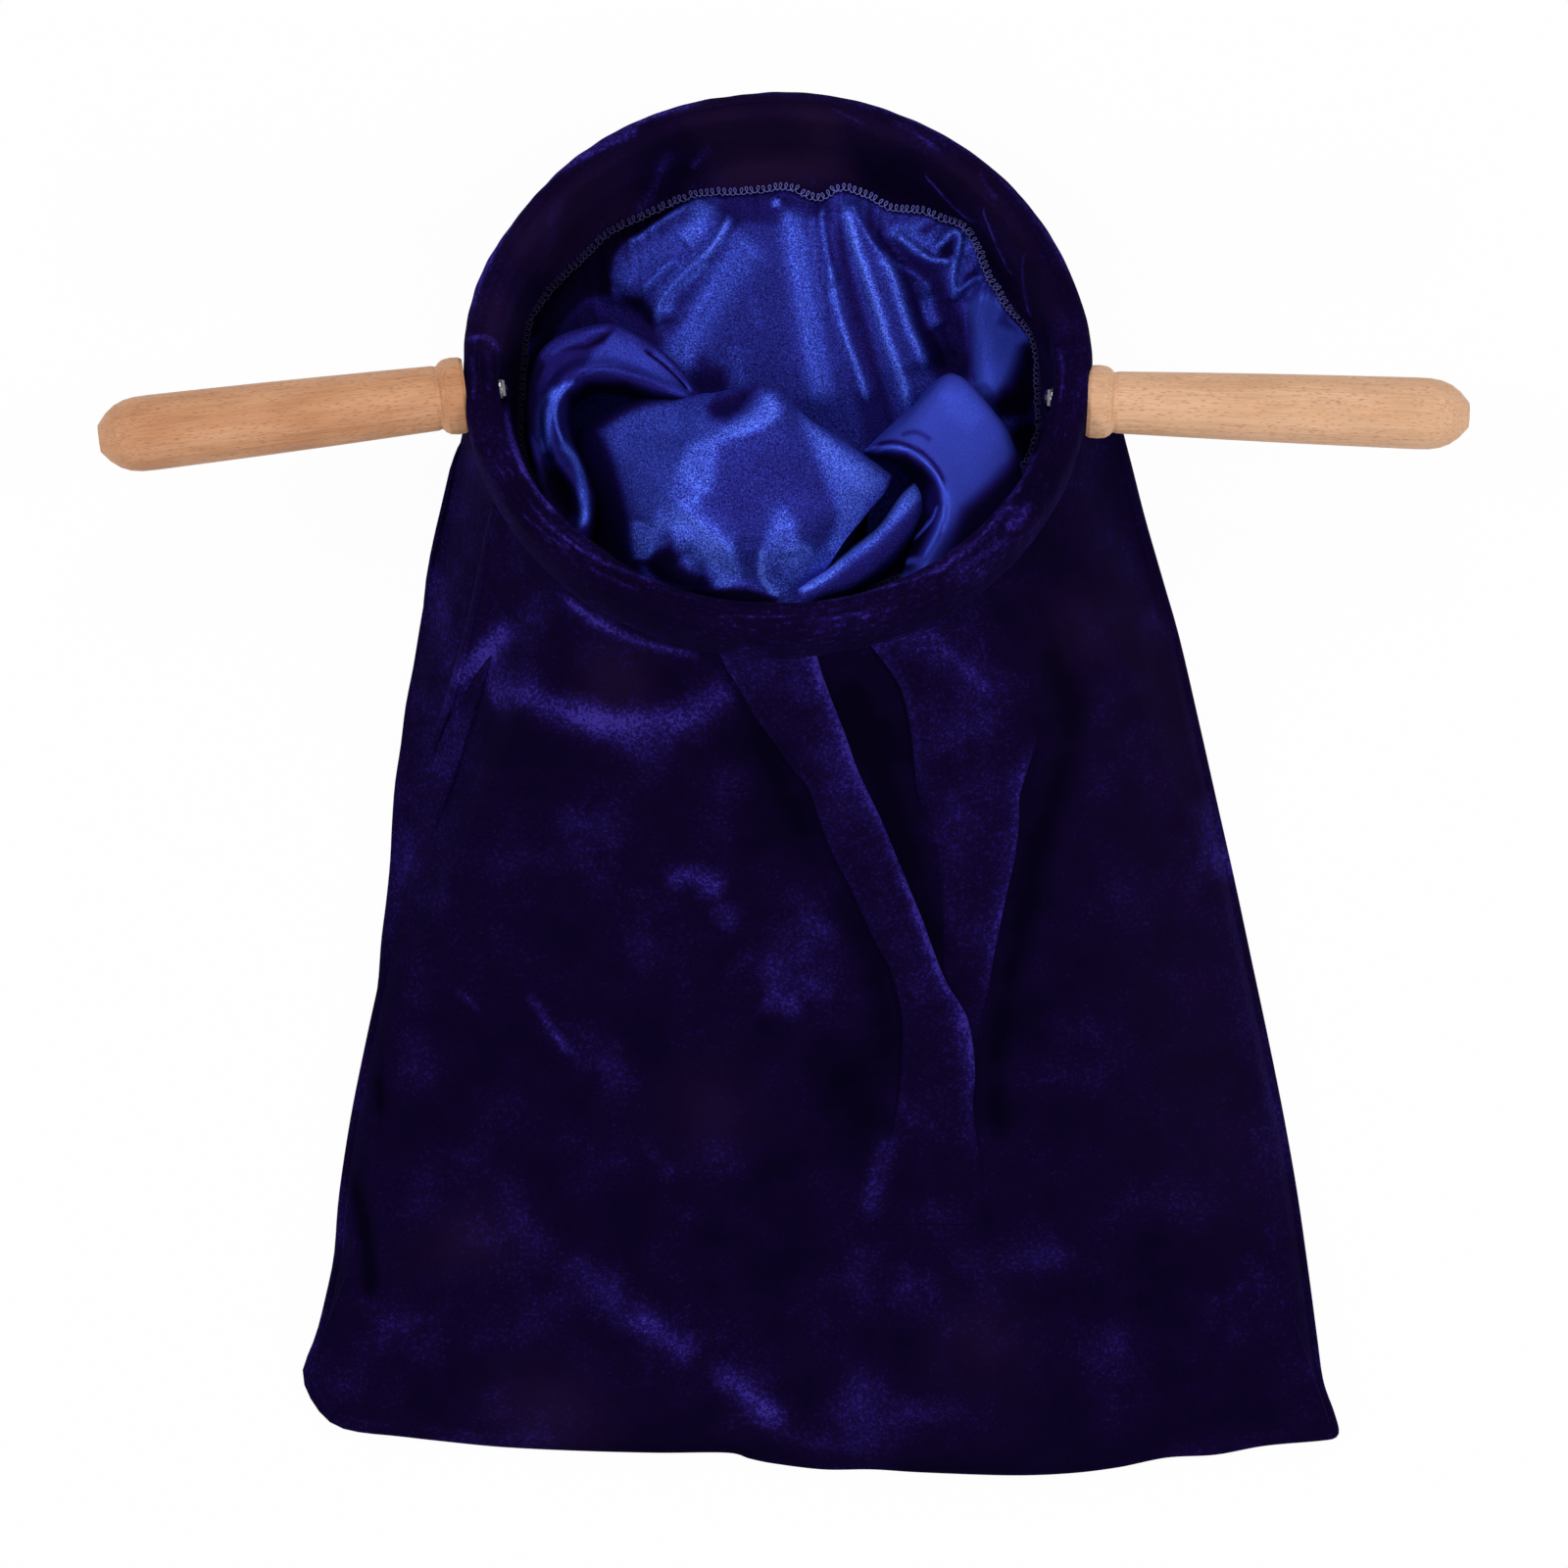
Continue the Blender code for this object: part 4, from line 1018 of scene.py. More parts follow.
# %% Pleat
PLEAT_LEFT = places("""
    728,650 736,664 745,682 758,704 774,731 793,757 812,784 826,800 834,820 843,847 856,877 870,903 884,934 897,962
    911,988 920,1019 924,1045 923,1086 920,1122 910,1160 899,1200 894,1250
""")
PLEAT_RIGHT = places("""
    822,645 826,660 831,680 836,696 846,722 858,752 869,783 880,807 891,829 902,854 912,878 921,899 930,921 938,940
    946,962 962,1002 984,1040 992,1090 990,1130 995,1165 1000,1200 1004,1250
""")
ARM_LEFT = places("""
    868,630 880,652 896,672 910,690 920,708 927,735 931,760 934,785 938,811 948,835 954,860 958,890 962,925 962,960
    960,990 950,1020 940,1060
""")
ARM_RIGHT = places("""
    996,606 1012,634 1028,662 1042,690 1050,715 1053,740 1048,765 1040,790 1034,815 1034,836 1031,870 1024,904
    1017,939 1011,970 1006,1005 999,1039 993,1075
""")
PLEAT_THICKNESS = 0.0010
BURIED, SUNK = -0.0018, -0.0006
BESIDE_FRONT = 0.016
front_index = np.arange(front_grid[..., 0].size).reshape(front_grid.shape[:2])
front_tree = BVHTree.FromPolygons(front_grid.reshape(-1, 3).tolist(), quads(front_index, False, True))


def height_of_front(x, y):
    """How high the upper side is at a place, and BESIDE_FRONT where it has no cloth."""
    spot = front_tree.ray_cast(Vector((x, y, 0.3)), Vector((0, 0, -1)))[0]
    return spot.z if spot is not None else BESIDE_FRONT


def pleat(name, edges, height, rows, columns, bright, crisp, fade):
    """A strip of velvet between two edges; an edge stands up where it is crisp and sinks in where it isn't. Its colour
    carries painted highlights along its edges and on its crown, over the panel's painted light.
    """
    left_line, right_line = (curve_through([seen(u, v, 0.02)[:2] for u, v in edge], rows) for edge in edges)
    across = np.concatenate([[0.0, 0.0], np.linspace(0, 1, columns), [1.0, 1.0]])
    sink = np.concatenate([[BURIED, SUNK], np.zeros(columns), [SUNK, BURIED]])
    along = np.linspace(0, 1, rows)
    on_left, on_right = (np.interp(along, *zip(*side))[:, None] for side in crisp)
    last = (smooth((fade - along) / 0.30) * smooth((along + 0.02) / 0.07))[:, None]
    xy = left_line[:, None] + (right_line - left_line)[:, None] * across[:, None]
    z = np.array([[height_of_front(*spot) for spot in line] for line in xy])
    crown = np.concatenate([[0, 0], np.sin(np.linspace(0, math.pi, columns)) ** 0.5, [0, 0]])
    side = on_left * (1 - across) ** 1.5 + on_right * across**1.5
    rise = height * (0.55 * side + 0.45 * crown * (0.4 + 0.6 * np.maximum(on_left, on_right))) * last
    z += rise + sink - 0.0016 * (1 - np.clip(side + crown, 0, 1)) * last - 0.0007 * (1 - last)
    grid = np.dstack([xy, z])
    nap = bright[0] * on_left * np.exp(-across / 0.05) + 1.4 * bright[1] * on_right * np.exp(-(1 - across) / 0.11)
    beneath = np.maximum(strokes(grid[..., 0], grid[..., 1], FRONT_PAINTED_LIGHT), -0.10 * last - (1 - last))
    nap = nap * last + beneath * (1 - 0.5 * crown * last) + 0.14 * crown * last
    made = cloth(name, grid, PLEAT_THICKNESS, velvet, nap=nap, dusk=0 * nap)
    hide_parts("front_panel")
    return made


ALL_CRISP = [(0, 1), (1, 1)]
LATE_LEFT = [(0, 0.3), (0.12, 1), (0.36, 1), (0.5, 0.25), (1, 0.0)]
LATE_RIGHT = [(0, 0), (0.30, 0), (0.40, 1), (1, 1)]
stem, arm = (PLEAT_LEFT, PLEAT_RIGHT), (ARM_LEFT, ARM_RIGHT)
pleat_left = pleat("pleat_left", stem, 0.0032, 300, 34, (0.26, 0.46), (ALL_CRISP, ALL_CRISP), 0.97)
pleat_right = pleat("pleat_right", arm, 0.0030, 240, 38, (0.36, 0.34), (LATE_LEFT, LATE_RIGHT), 1.0)
print("pleat", len(pleat_left.data.polygons), len(pleat_right.data.polygons), "faces")

# %% [markdown]
# ## The under side of the bag
#
# The back panel lies flat on the table. Its own skirt goes round the far half of the hoop, and shows at
# the left beside the fold of the front panel.

# %% Skirt round the far half of the hoop
SKIRT_COLUMNS, SKIRT_ROWS = 260, 30
SKIRT_LOW = 0.0046
LEFT_STRIP = places("""
    482,445 469,480 458,520 447,560 437,600 429,640 422,680 414,720 409,760 403,800 400,840 398,880 394,920 389,960
    386,1000 381,1035
""")
RIGHT_END = seen(1148, 450, 0.004)[:2]


def far_side(angle, radius):
    """Places on the table below a ring round the hoop's centre."""
    x = RIM_CENTRE[0] + radius * np.cos(angle)
    return np.stack([x, RIM_CENTRE[1] + radius * np.sin(angle) * math.cos(TILT)], axis=1)


skirt_angles = np.linspace(math.radians(-12), math.radians(216), SKIRT_COLUMNS)
skirt_top = rim_point(skirt_angles, 0.0998, -0.0062)
skirt_foot = far_side(skirt_angles, 0.0970)
left_line = curve_through([seen(u, v, 0.004)[:2] for u, v in LEFT_STRIP], 200)
along = np.degrees(skirt_angles)
beside_strip, before_strip, near_right = along > 176, (along > 150) & (along <= 176), along < 20
skirt_foot[beside_strip] = along_line(left_line, np.clip((along[beside_strip] - 176) / 40, 0, 1))
for chosen, mix, spot in (
    (before_strip, smooth((along[before_strip] - 150) / 26), left_line[0]),
    (near_right, smooth((20 - along[near_right]) / 32), RIGHT_END),
):
    skirt_foot[chosen] += (spot - skirt_foot[chosen]) * mix[:, None]
gap_from_hoop = np.linalg.norm(skirt_foot - skirt_top[:, :2], axis=1)
skirt_rest = np.where(along > 170, resting_height(skirt_top[:, 2], gap_from_hoop, SKIRT_LOW), SKIRT_LOW)
rows = []
for share in np.linspace(0, 1, SKIRT_ROWS):
    xy = skirt_top[:, :2] + (skirt_foot - skirt_top[:, :2]) * share**1.6
    rows.append(np.column_stack([xy, skirt_rest + (skirt_top[:, 2] - skirt_rest) * (1 - share) ** 1.3]))
middle = np.array([0.0, 0.05])
for share in (0.25, 0.5, 0.75, 1.0):
    xy = skirt_foot + (middle - skirt_foot) * 0.012 * share
    rows.append(np.column_stack([xy, skirt_rest + (0.0034 - skirt_rest) * share]))
skirt_grid = np.array(rows)
back = cloth("velvet_back", skirt_grid, -0.0016, velvet, coarse=2, nap=np.full(skirt_grid.shape[:2], 0.13))

# %% Sole that lies on the table
SOLE_RINGS = 14
side_left = [seen(u, v, 0.002)[:2] for u, v in LEFT_STRIP]
outer_front = [seen(u, v, 0.002)[:2] for u, v in FRONT_EDGE if v > 1040 or u > 1100]
outline = np.vstack([side_left, outer_front, far_side(np.radians(np.arange(10, 176, 8)), 0.0968)])
outline = curve_through(np.vstack([outline, outline[:1]]), 361)[:-1]
centre = np.array([0.005, -0.03])
rings = []
for share in np.linspace(0.02, 0.992, SOLE_RINGS):
    ring_xy = centre + (outline - centre) * share
    low = 0.00006 * ripples(ring_xy[:, 0], ring_xy[:, 1], 0.05, 31)
    rings.append(np.column_stack([ring_xy, 0.0002 + np.abs(low)]))
sole_grid = np.array(rings)
sole = cloth("sole", sole_grid, 0.0022, velvet, ring=True, coarse=2, nap=np.full(sole_grid.shape[:2], 0.05))
print("sole", len(sole.data.polygons), "faces")

# %% Join the skirt and the sole
bpy.ops.object.select_all(action="DESELECT")
for piece in (back, sole):
    piece.select_set(True)
bpy.context.view_layer.objects.active = back
bpy.ops.object.join()
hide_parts("back_panel")
print("back", len(back.data.polygons), "faces")

# %% [markdown]
# ## Lining
#
# The satin lining is a bag of its own, sewn to the facing. Its far wall lies against the back of the bag
# with folds that run down from the gathered seam. Its near side billows up into the mouth. Each fold of
# the wall gives how wide it falls to the left and right and its height, all in mm, then the tone of the
# painted highlight along it and how wide that highlight is in pixels. The painted touches of highlight
# and shade give a tone and a width in pixels.

# %% Far wall of the lining
WALL_COLUMNS, WALL_ROWS, POCKET_ROWS = 460, 170, 15
WALL_FOOT, POCKET_FOOT = 0.048, -0.198
WALL_FOLDS = table("""
    3 6 2.6 0.665 12.15 806,201 809,234 817,281 826,335 834,380 842,425
    2.2 1.6 2.2 0.627 2.565 842,208 838,222 841,245 846,272 851,296
    2.2 1.6 2.2 0.76 4.59 845,262 849,290 855,318 863,345 872,370 881,396 887,416
    5 1.8 3 0.855 5.13 860,200 866,225 875,255 885,285 895,315 904,345 914,372 923,397 928,428
    1.6 2.5 2 0.627 2.025 867,205 878,228 890,248 902,264
    2 5.5 3.4 0.76 5.13 894,254 905,270 914,292 920,313 928,335 938,358 946,380
    3 3 1.8 0.532 6.75 940,283 946,300 948,318 957,337
    2 3 2 0.475 2.43 903,265 920,272 935,282 945,292 949,304
    1.4 2.2 2.8 0.779 2.43 912,238 925,248 938,258 952,265 974,268
    1.2 1.2 2.4 0.76 2.97 951,257 960,249 970,238 977,235 980,243 978,256 975,268
    1.2 1.6 2.6 0.684 4.32 979,256 974,275 973,292 976,308
    1.4 1.4 2.2 0.627 2.43 976,300 985,292 996,284 1004,285
    8 5 2.6 0.627 17.55 776,240 755,262 738,285 722,312 706,340 694,366 686,388
    4.5 1.6 4 0.836 4.32 747,214 741,230 730,249 716,264 704,275 692,287 681,299 672,314 671,334
    1.6 1.6 1.8 0.665 4.05 697,268 680,272 668,284 654,299
    3 3 0 0.684 8.1 722,262 702,282 686,296 679,312 676,328
    4 5 1.8 0.703 12.15 722,204 716,216 708,236 694,248
    4 6 1.6 0.532 12.15 698,246 668,258 646,274 631,298
    1.5 1.5 0.8 0.703 2.16 704,208 676,225 655,240 638,248
    2 2 0.8 0.76 4.05 794,202 790,212
    2 2 0.8 0.532 4.05 828,215 829,250 832,290 836,330
    3 3 0.5 0.513 8.1 753,352 751,375 757,398
    2 2 0.4 0.475 4.725 764,303 770,323 775,340
""")
WALL_PAINTED_SHADING = table("""
    0.26 7 732,196 785,192 830,203 846,204 850,226 820,236 790,230 760,226 742,240 732,196
    0.02 4 712,199 703,206 676,223 652,239 636,248 626,262 624,285 624,302 600,306 570,330 540,350 520,330 560,270
        600,235 650,205 700,190 712,199
    0.24 5 856,210 862,245 872,290 884,330 896,372 908,412 916,440 900,440 892,410 880,375 868,340 860,300 854,255
        856,210
    0.2 8 700,372 712,352 726,372 742,378 742,400 716,408 706,396 700,372
    0.31 8 842,215 852,250 858,290 874,335 890,385 905,430 915,470 885,470 880,430 868,380 855,330 847,285 840,240
        842,215
    0.3 7 742,250 720,290 704,318 690,345 676,338 672,318 682,292 712,266 742,250
    0.2 8 887,215 905,240 925,258 960,275 972,300 985,330 992,370 975,388 955,385 944,362 934,335 926,300 916,275
        900,255 885,232 887,215
    0.12 9 955,350 985,362 992,385 968,388 952,375 955,350
    0.62 5 902,238 912,230 930,228 947,221 958,226 955,240 950,250 935,256 922,246 902,238
    0.3 4 936,236 948,226 954,230 946,242 936,236
    0.58 4 982,238 992,248 988,262 980,272 977,288 980,262 982,238
    0.1 4 958,254 974,243 973,262 960,263 958,254
    0.18 5 984,282 998,270 998,283 984,290 984,282
    0.66 5 988,311 1000,297 1011,300 1024,315 1020,328 1034,334 1050,342 1048,350 1038,353 1034,368 1028,388
        1014,402 1003,404 996,390 994,365 994,338 988,311
    0.46 4 1022,326 1034,331 1046,338 1034,336 1018,331 1022,326
    0.03 7 1046,352 1040,375 1032,395 1016,412 1020,425 1050,425 1062,395 1058,352 1046,352
    0.05 8 1040,430 1030,445 1045,475 1070,480 1065,430 1040,430
    0.16 9 560,370 575,325 600,302 640,306 664,334 680,352 640,372 560,370
    0.06 5 634,303 655,303 668,318 668,338 652,322 634,303
    0.26 6 600,306 628,308 650,325 668,348 640,340 612,322 600,306
    0.05 7 530,420 536,370 560,320 590,295 575,330 556,368 548,420 530,420
""")
WALL_VALLEY = places("895,229 930,281 946,323 958,346 975,380")
RIGHT_PUFF = places("991,304 1007,295 1023,309 1051,341 1040,365 1019,416 998,393 995,360")
LEFT_PUFF = places("624,299 629,267 650,243 690,222 725,213 739,234 706,262 673,299 650,305")
DULL_SIDE = places("985,290 1030,300 1060,340 1030,410 985,410")
wall_angles = np.linspace(math.radians(-28), math.radians(208), WALL_COLUMNS)
wall_top = seam_line(wall_angles)
wall_top[:, 2] -= 0.0002
wall_x = np.linspace(0.086, -0.088, WALL_COLUMNS)
wall_foot = np.column_stack([wall_x, np.full(WALL_COLUMNS, WALL_FOOT), np.full(WALL_COLUMNS, 0.0044)])


def wall_relief(x, y):
    """How folds and puffs lift the far wall."""
    lift = folds(x, y, [(*row[:3], row[-1]) for row in WALL_FOLDS], 0.12)
    lift += stroke(x, y, WALL_VALLEY, 0.0030, -0.0024, 0.1)
    lift += 0.0024 * inside(x, y, RIGHT_PUFF, 0.0030) + 0.0026 * inside(x, y, LEFT_PUFF, 0.0050)
    return lift + 0.0004 * ripples(x, y, 0.030, 41)


rows = []
reach = np.linalg.norm(wall_foot[:, :2] - wall_top[:, :2], axis=1)
high = wall_top[:, 2] - wall_foot[:, 2]
gathers = np.maximum(ripples(wall_angles * 0.078, 0.0, 0.0055, 43), -0.5)
for share in np.linspace(0, 1, WALL_ROWS):
    xy = wall_top[:, :2] + (wall_foot[:, :2] - wall_top[:, :2]) * share
    gone = share * reach
    z = wall_foot[:, 2] + high * np.exp(-gone / 0.012) * (1 - share) + 0.0018 * smooth(gone / 0.01) * (1 - share)
    z += wall_relief(*on_plan(np.column_stack([xy, z]))) * smooth(gone / 0.004)
    z += 0.0007 * gathers * np.exp(-gone / 0.010) * smooth(gone / 0.0012)
    rows.append(np.column_stack([xy, np.maximum(z, 0.0040)]))
for share in np.linspace(0, 1, POCKET_ROWS + 1)[1:]:
    y = np.full(WALL_COLUMNS, WALL_FOOT + (POCKET_FOOT - WALL_FOOT) * share)
    rows.append(np.column_stack([wall_x * (1 + 0.55 * share), y, np.full(WALL_COLUMNS, 0.0042)]))
wall_grid = np.array(rows)
x, y = on_plan(wall_grid)
# The far wall's colour carries painted light: painted shading areas, a painted highlight along each fold, and a tone
# that falls off next to the seam.
lustre = painted(x, y, painted(x, y, 0.44, WALL_PAINTED_SHADING), [row[3:] for row in WALL_FOLDS])
from_seam = np.linspace(0, 1, WALL_ROWS)[:, None] * reach
lustre[:WALL_ROWS] *= 0.10 + 0.90 * smooth((from_seam - 0.0010) / 0.0014)
slub = 1 - 0.85 * inside(x, y, DULL_SIDE, 0.004)
wall = cloth("lining_far", wall_grid, 0.0006, satin, coarse=3, lustre=lustre, slub=slub)
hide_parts("lining_back")
print("far wall", len(wall.data.polygons), "faces")


# %% Patches of satin
SATIN_THICKNESS = 0.0007


def patch(name, net, rows, columns, start, touches, slub, relief=None):
    """A satin sheet through a net of (u, v, height in mm) places, with painted highlights and painted shade on its
    colour.
    """
    points = [[seen(u, v, z / 1000) for u, v, z in row] for row in net]
    grid = surface_through(points, rows, columns)
    if relief is not None:
        grid = grid + relief(*on_plan(grid), grid[..., 2])[..., None] * normals(grid, False)
    lustre = painted(*on_plan(grid), start, touches)
    made = cloth(name, grid, -SATIN_THICKNESS, satin, lustre=lustre, slub=np.full(grid.shape[:2], slub))
    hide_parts("lining_front")
    return made


def between(a, b, share):
    """A line a share of the way from line a to line b."""
    return [(p[0] + (q[0] - p[0]) * share, p[1] + (q[1] - p[1]) * share) for p, q in zip(a, b)]


def net_over(lip, heights, rows):
    """A net over a rolled edge; each row lies a share of the way from the lip to a line, and a drop lower."""
    lines = [(between(lip, line, share), drop) for line, share, drop in rows]
    return [[(u, v, high - drop) for (u, v), high in zip(line, heights)] for line, drop in lines]


# %% Billow
BILLOW_NET = [places(row) for row in """
    606,640,56 640,640,72 680,645,74 720,648,75 760,648,75 800,648,75 840,645,74 880,640,72
    612,604,56 648,600,74 678,604,80 705,607,82 735,608,83 766,609,82 796,609,80 828,604,75
    612,570,54 645,560,72 672,572,80 700,580,84 732,584,85 768,585,84 808,584,82 845,577,75
    606,530,50 640,520,69 668,530,79 702,542,87 745,550,90 787,552,88 828,548,83 862,549,73
    598,490,46 630,480,64 662,488,76 702,500,85 752,505,90 800,508,88 847,512,81 880,524,69
    590,458,42 614,446,57 655,450,68 705,460,79 758,462,86 812,474,84 860,490,76 898,506,65
    588,448,38 605,438,50 650,420,60 708,419,69 768,418,79 815,440,78 865,468,72 906,494,62
    590,444,34 604,432,44 648,409,52 706,405,61 772,395,72 816,424,70 866,459,66 908,487,58
    594,446,26 610,436,34 656,420,40 712,418,46 772,412,50 816,440,52 862,470,52 898,496,48
    598,476,13 620,470,14 670,470,14 720,480,14 776,480,14 820,490,14 860,510,14 885,530,14
    598,620,9 620,620,9 670,620,9 720,620,9 776,620,9 820,620,9 860,620,9 885,620,9
""".strip().splitlines()]
BILLOW_FOLDS = table("""
    2.2 7.5 0.1 777,400 788,414 780,430 750,443 715,453 702,470 696,498 680,520
    1.4 7 0.25 827,435 851,463 879,490 874,514 850,545
    1.8 4.2 0.25 660,562 664,540 680,524 702,519 724,532 744,554 752,580 744,594
    1.4 4.2 0.25 797,520 784,545 777,575 782,600
    1.2 5.5 0.25 797,525 806,545 812,570
    -1.6 4 0.25 758,540 764,575 766,605
    -2.8 5 0.25 690,560 708,580 722,592
    -2 5 0.25 765,402 745,412 725,420
    -3.4 5.5 0.25 640,580 690,606 730,615
    -2.6 8 0.25 715,420 660,434 615,444
""")
# Painted highlights and painted shade on the billow's colour.
BILLOW_PAINTED_LIGHT = table("""
    0.41 16 745,470 775,455 815,462 838,490 850,525 838,552 815,540 800,510 780,512 772,550 755,545 730,510 745,470
    0.57 14 622,430 650,412 690,408 726,414 728,432 700,450 690,490 664,520 640,500 622,430
    0.62 8 700,424 735,436 700,448 672,440 700,424
    0.15 6 575,400 650,402 690,409 664,413 638,423 612,440 622,460 630,480 637,505 644,532 651,550 656,570 650,610
        580,610 575,400
    0.2 6 772,396 768,406 756,420 744,428 728,428 722,416 730,408 750,402 772,396
    0.74 8 816,424 850,451 870,463 893,478 904,492 893,508 880,525 866,540 853,560 850,545 854,525 848,503 840,486
        830,462 820,440 816,424
    0.82 5 835,445 868,470 896,490 884,505 872,500 855,480 840,462 835,445
    0.68 12 700,470 704,500 694,525 676,532
    0.74 7 781,404 789,404 797,418 794,427 778,437 752,447 734,456 724,474 720,500 708,516 690,516 692,492 696,470
        704,453 720,446 744,435 764,424 781,404
    0.8 4 778,404 788,416 784,428 766,436 742,444
    0.7 9 724,458 722,480 716,505
    0.64 12 704,492 690,506 672,514 664,530
    0.56 8 650,470 662,500 664,530
    0.72 9 658,574 662,558 669,542 680,532 700,526
    0.72 9 655,530 654,550 658,572
    0.8 7 688,522 716,524 730,538 746,554 756,578 752,592 736,595 728,584 716,572 704,578 696,558 686,542 688,522
    0.8 6 712,536 732,556 742,574 744,590
    0.72 6 700,540 702,556 706,572
    0.78 4.5 752,582 742,595 728,597
    0.66 5 698,548 702,562 706,576
    0.7 7 791,522 803,520 812,535 814,552 824,568 812,580 800,590 797,602 786,602 779,586 779,565 784,540 791,522
    0.92 3.2 780,556 777,575 779,590 787,602 797,609
    0.8 6 800,566 816,560 828,566
    0.56 5 790,575 793,592
    0.8 4 800,570 814,570 824,572 812,582
    0.12 5 658,574 672,562 686,556 694,576 704,584 722,588 726,600 700,600 676,592 658,574
    0.06 4 640,588 690,600 720,601 760,600 792,610 790,640 640,640 640,588
    0.66 6 824,566 845,552 858,560 846,576 826,584 808,596 802,606 794,602 804,586 824,566
    0.8 8 876,510 866,530 856,548 846,564
    0.12 3 908,488 916,500 900,525 884,545 870,560 884,526 900,508 908,488
""")


def billow_relief(x, y, z):
    """How folds lift the billow's upper part."""
    upper = smooth((z - 0.050) / 0.012)
    return (strokes(x, y, BILLOW_FOLDS, 0.001) + 0.00015 * ripples(x, y, 0.03, 51)) * upper


billow = patch("lining_billow", BILLOW_NET, 210, 200, 0.47, BILLOW_PAINTED_LIGHT, 1.0, billow_relief)

# %% Roll at the left
LIP = places("""
    585,545 596,530 597,512 585,490 568,466 561,440 562,416 571,397 585,384 603,379 627,381 645,388 673,397 694,402
    709,410
""")
ROLL_OUTSIDE = places("""
    568,562 572,545 562,522 552,500 546,470 540,440 539,405 545,379 556,356 580,341 622,332 650,344 675,360 695,380
    709,404
""")
ROLL_INSIDE = places("""
    606,562 613,534 613,508 604,486 590,462 581,440 582,420 591,408 604,401 618,399 636,401 652,406 676,411 696,414
    709,415
""")
LIP_HEIGHT = (64, 64, 62, 59, 57, 56, 56, 57, 58, 60, 62, 62, 62, 61, 60)
ROLL_NET = net_over(LIP, LIP_HEIGHT, [
    (ROLL_INSIDE, 0.7, 26), (ROLL_INSIDE, 1, 14), (ROLL_INSIDE, 0.55, 4), (ROLL_INSIDE, 0.12, 0.3),
    (ROLL_OUTSIDE, 0.12, 0.2), (ROLL_OUTSIDE, 0.35, 3.4), (ROLL_OUTSIDE, 0.7, 4.4), (ROLL_OUTSIDE, 0.94, 4),
    (ROLL_OUTSIDE, 1, 7), (ROLL_OUTSIDE, 0.92, 13), (ROLL_OUTSIDE, 0.8, 30), (ROLL_OUTSIDE, 0.7, 45),
])
# Painted highlights and painted shade on the roll's colour.
ROLL_PAINTED_LIGHT = table("""
    0.26 8 540,410 548,380 572,360 604,352 608,366 580,382 562,402 556,430 545,440 540,410
    0.54 6 624,338 645,345 665,361 684,382 700,402 690,400 668,388 650,378 622,371 600,373 606,360 624,338
    0.05 4 574,357 600,352 614,343 626,336 616,350 600,356 574,357
    0.3 5 556,410 552,440 558,466 566,480 556,480 546,450 548,415 556,410
    0.34 7 572,455 584,472 590,492 580,490 568,470 572,455
    0.02 8 552,474 572,480 584,496 590,520 578,536 564,520 552,500 552,474
    0.02 6 580,402 600,388 640,388 668,400 710,410 712,425 640,420 600,425 592,440 612,480 616,560 600,560 604,505
        590,462 578,430 580,402
    0.48 1.6 562,361 574,352 590,345 606,339 622,335
    0.34 2.4 548,366 562,350 582,340 604,333 624,332
    0.08 4 538,440 538,400 545,378 552,366 556,372 548,392 546,420 548,450 538,440
    0.72 5 557,466 556,440 558,420 563,406 572,394
    0.44 3 560,362 580,350 602,343
    0.8 1.8 561,464 559,440 561,418 569,400 582,386
    0.46 1.3 582,386 600,376 618,373 640,375 662,384
    0.84 1.8 575,458 568,440 565,424 567,410 575,397 588,385
    0.48 1.2 588,385 604,379 620,377 642,382 664,389 686,399 707,407
    0.5 5 552,450 553,425 560,404
    0.6 2.6 664,358 680,372 694,388 706,405
    0.06 1.6 656,356 672,368 688,383 702,401
    0.78 4 570,448 576,458 584,468 590,482 594,498 596,515 596,530 589,540
    0.66 1.6 590,480 595,495 597,512 596,522
""")
roll = patch("lining_roll", ROLL_NET, 130, 300, 0.32, ROLL_PAINTED_LIGHT, 0.5)

# %% Flap at the right
FLAP_LIP = places("940,590 950,565 963,540 966,510 959,487 944,472 925,461 902,456 882,460")
FLAP_OUTSIDE = places("1000,610 1024,580 1042,535 1044,495 1036,458 1019,426 971,381 925,420 886,455")
FLAP_INSIDE = places("915,600 925,570 935,542 940,515 934,494 922,481 910,472 896,467 882,464")
FLAP_HEIGHT = (80, 79, 77, 75, 73, 72, 71, 69, 66)
FLAP_NET = net_over(FLAP_LIP, FLAP_HEIGHT, [
    (FLAP_INSIDE, 0.7, 26), (FLAP_INSIDE, 1, 13), (FLAP_INSIDE, 0.55, 4), (FLAP_INSIDE, 0.1, 0.2),
    (FLAP_OUTSIDE, 0.08, 0.1), (FLAP_OUTSIDE, 0.3, 2.2), (FLAP_OUTSIDE, 0.65, 5), (FLAP_OUTSIDE, 0.95, 8),
    (FLAP_OUTSIDE, 1, 12), (FLAP_OUTSIDE, 0.93, 20), (FLAP_OUTSIDE, 0.86, 34), (FLAP_OUTSIDE, 0.82, 48),
])
FLAP_NET.append([(u, v, 5.5) for u, v in between(FLAP_LIP, FLAP_OUTSIDE, 0.72)])
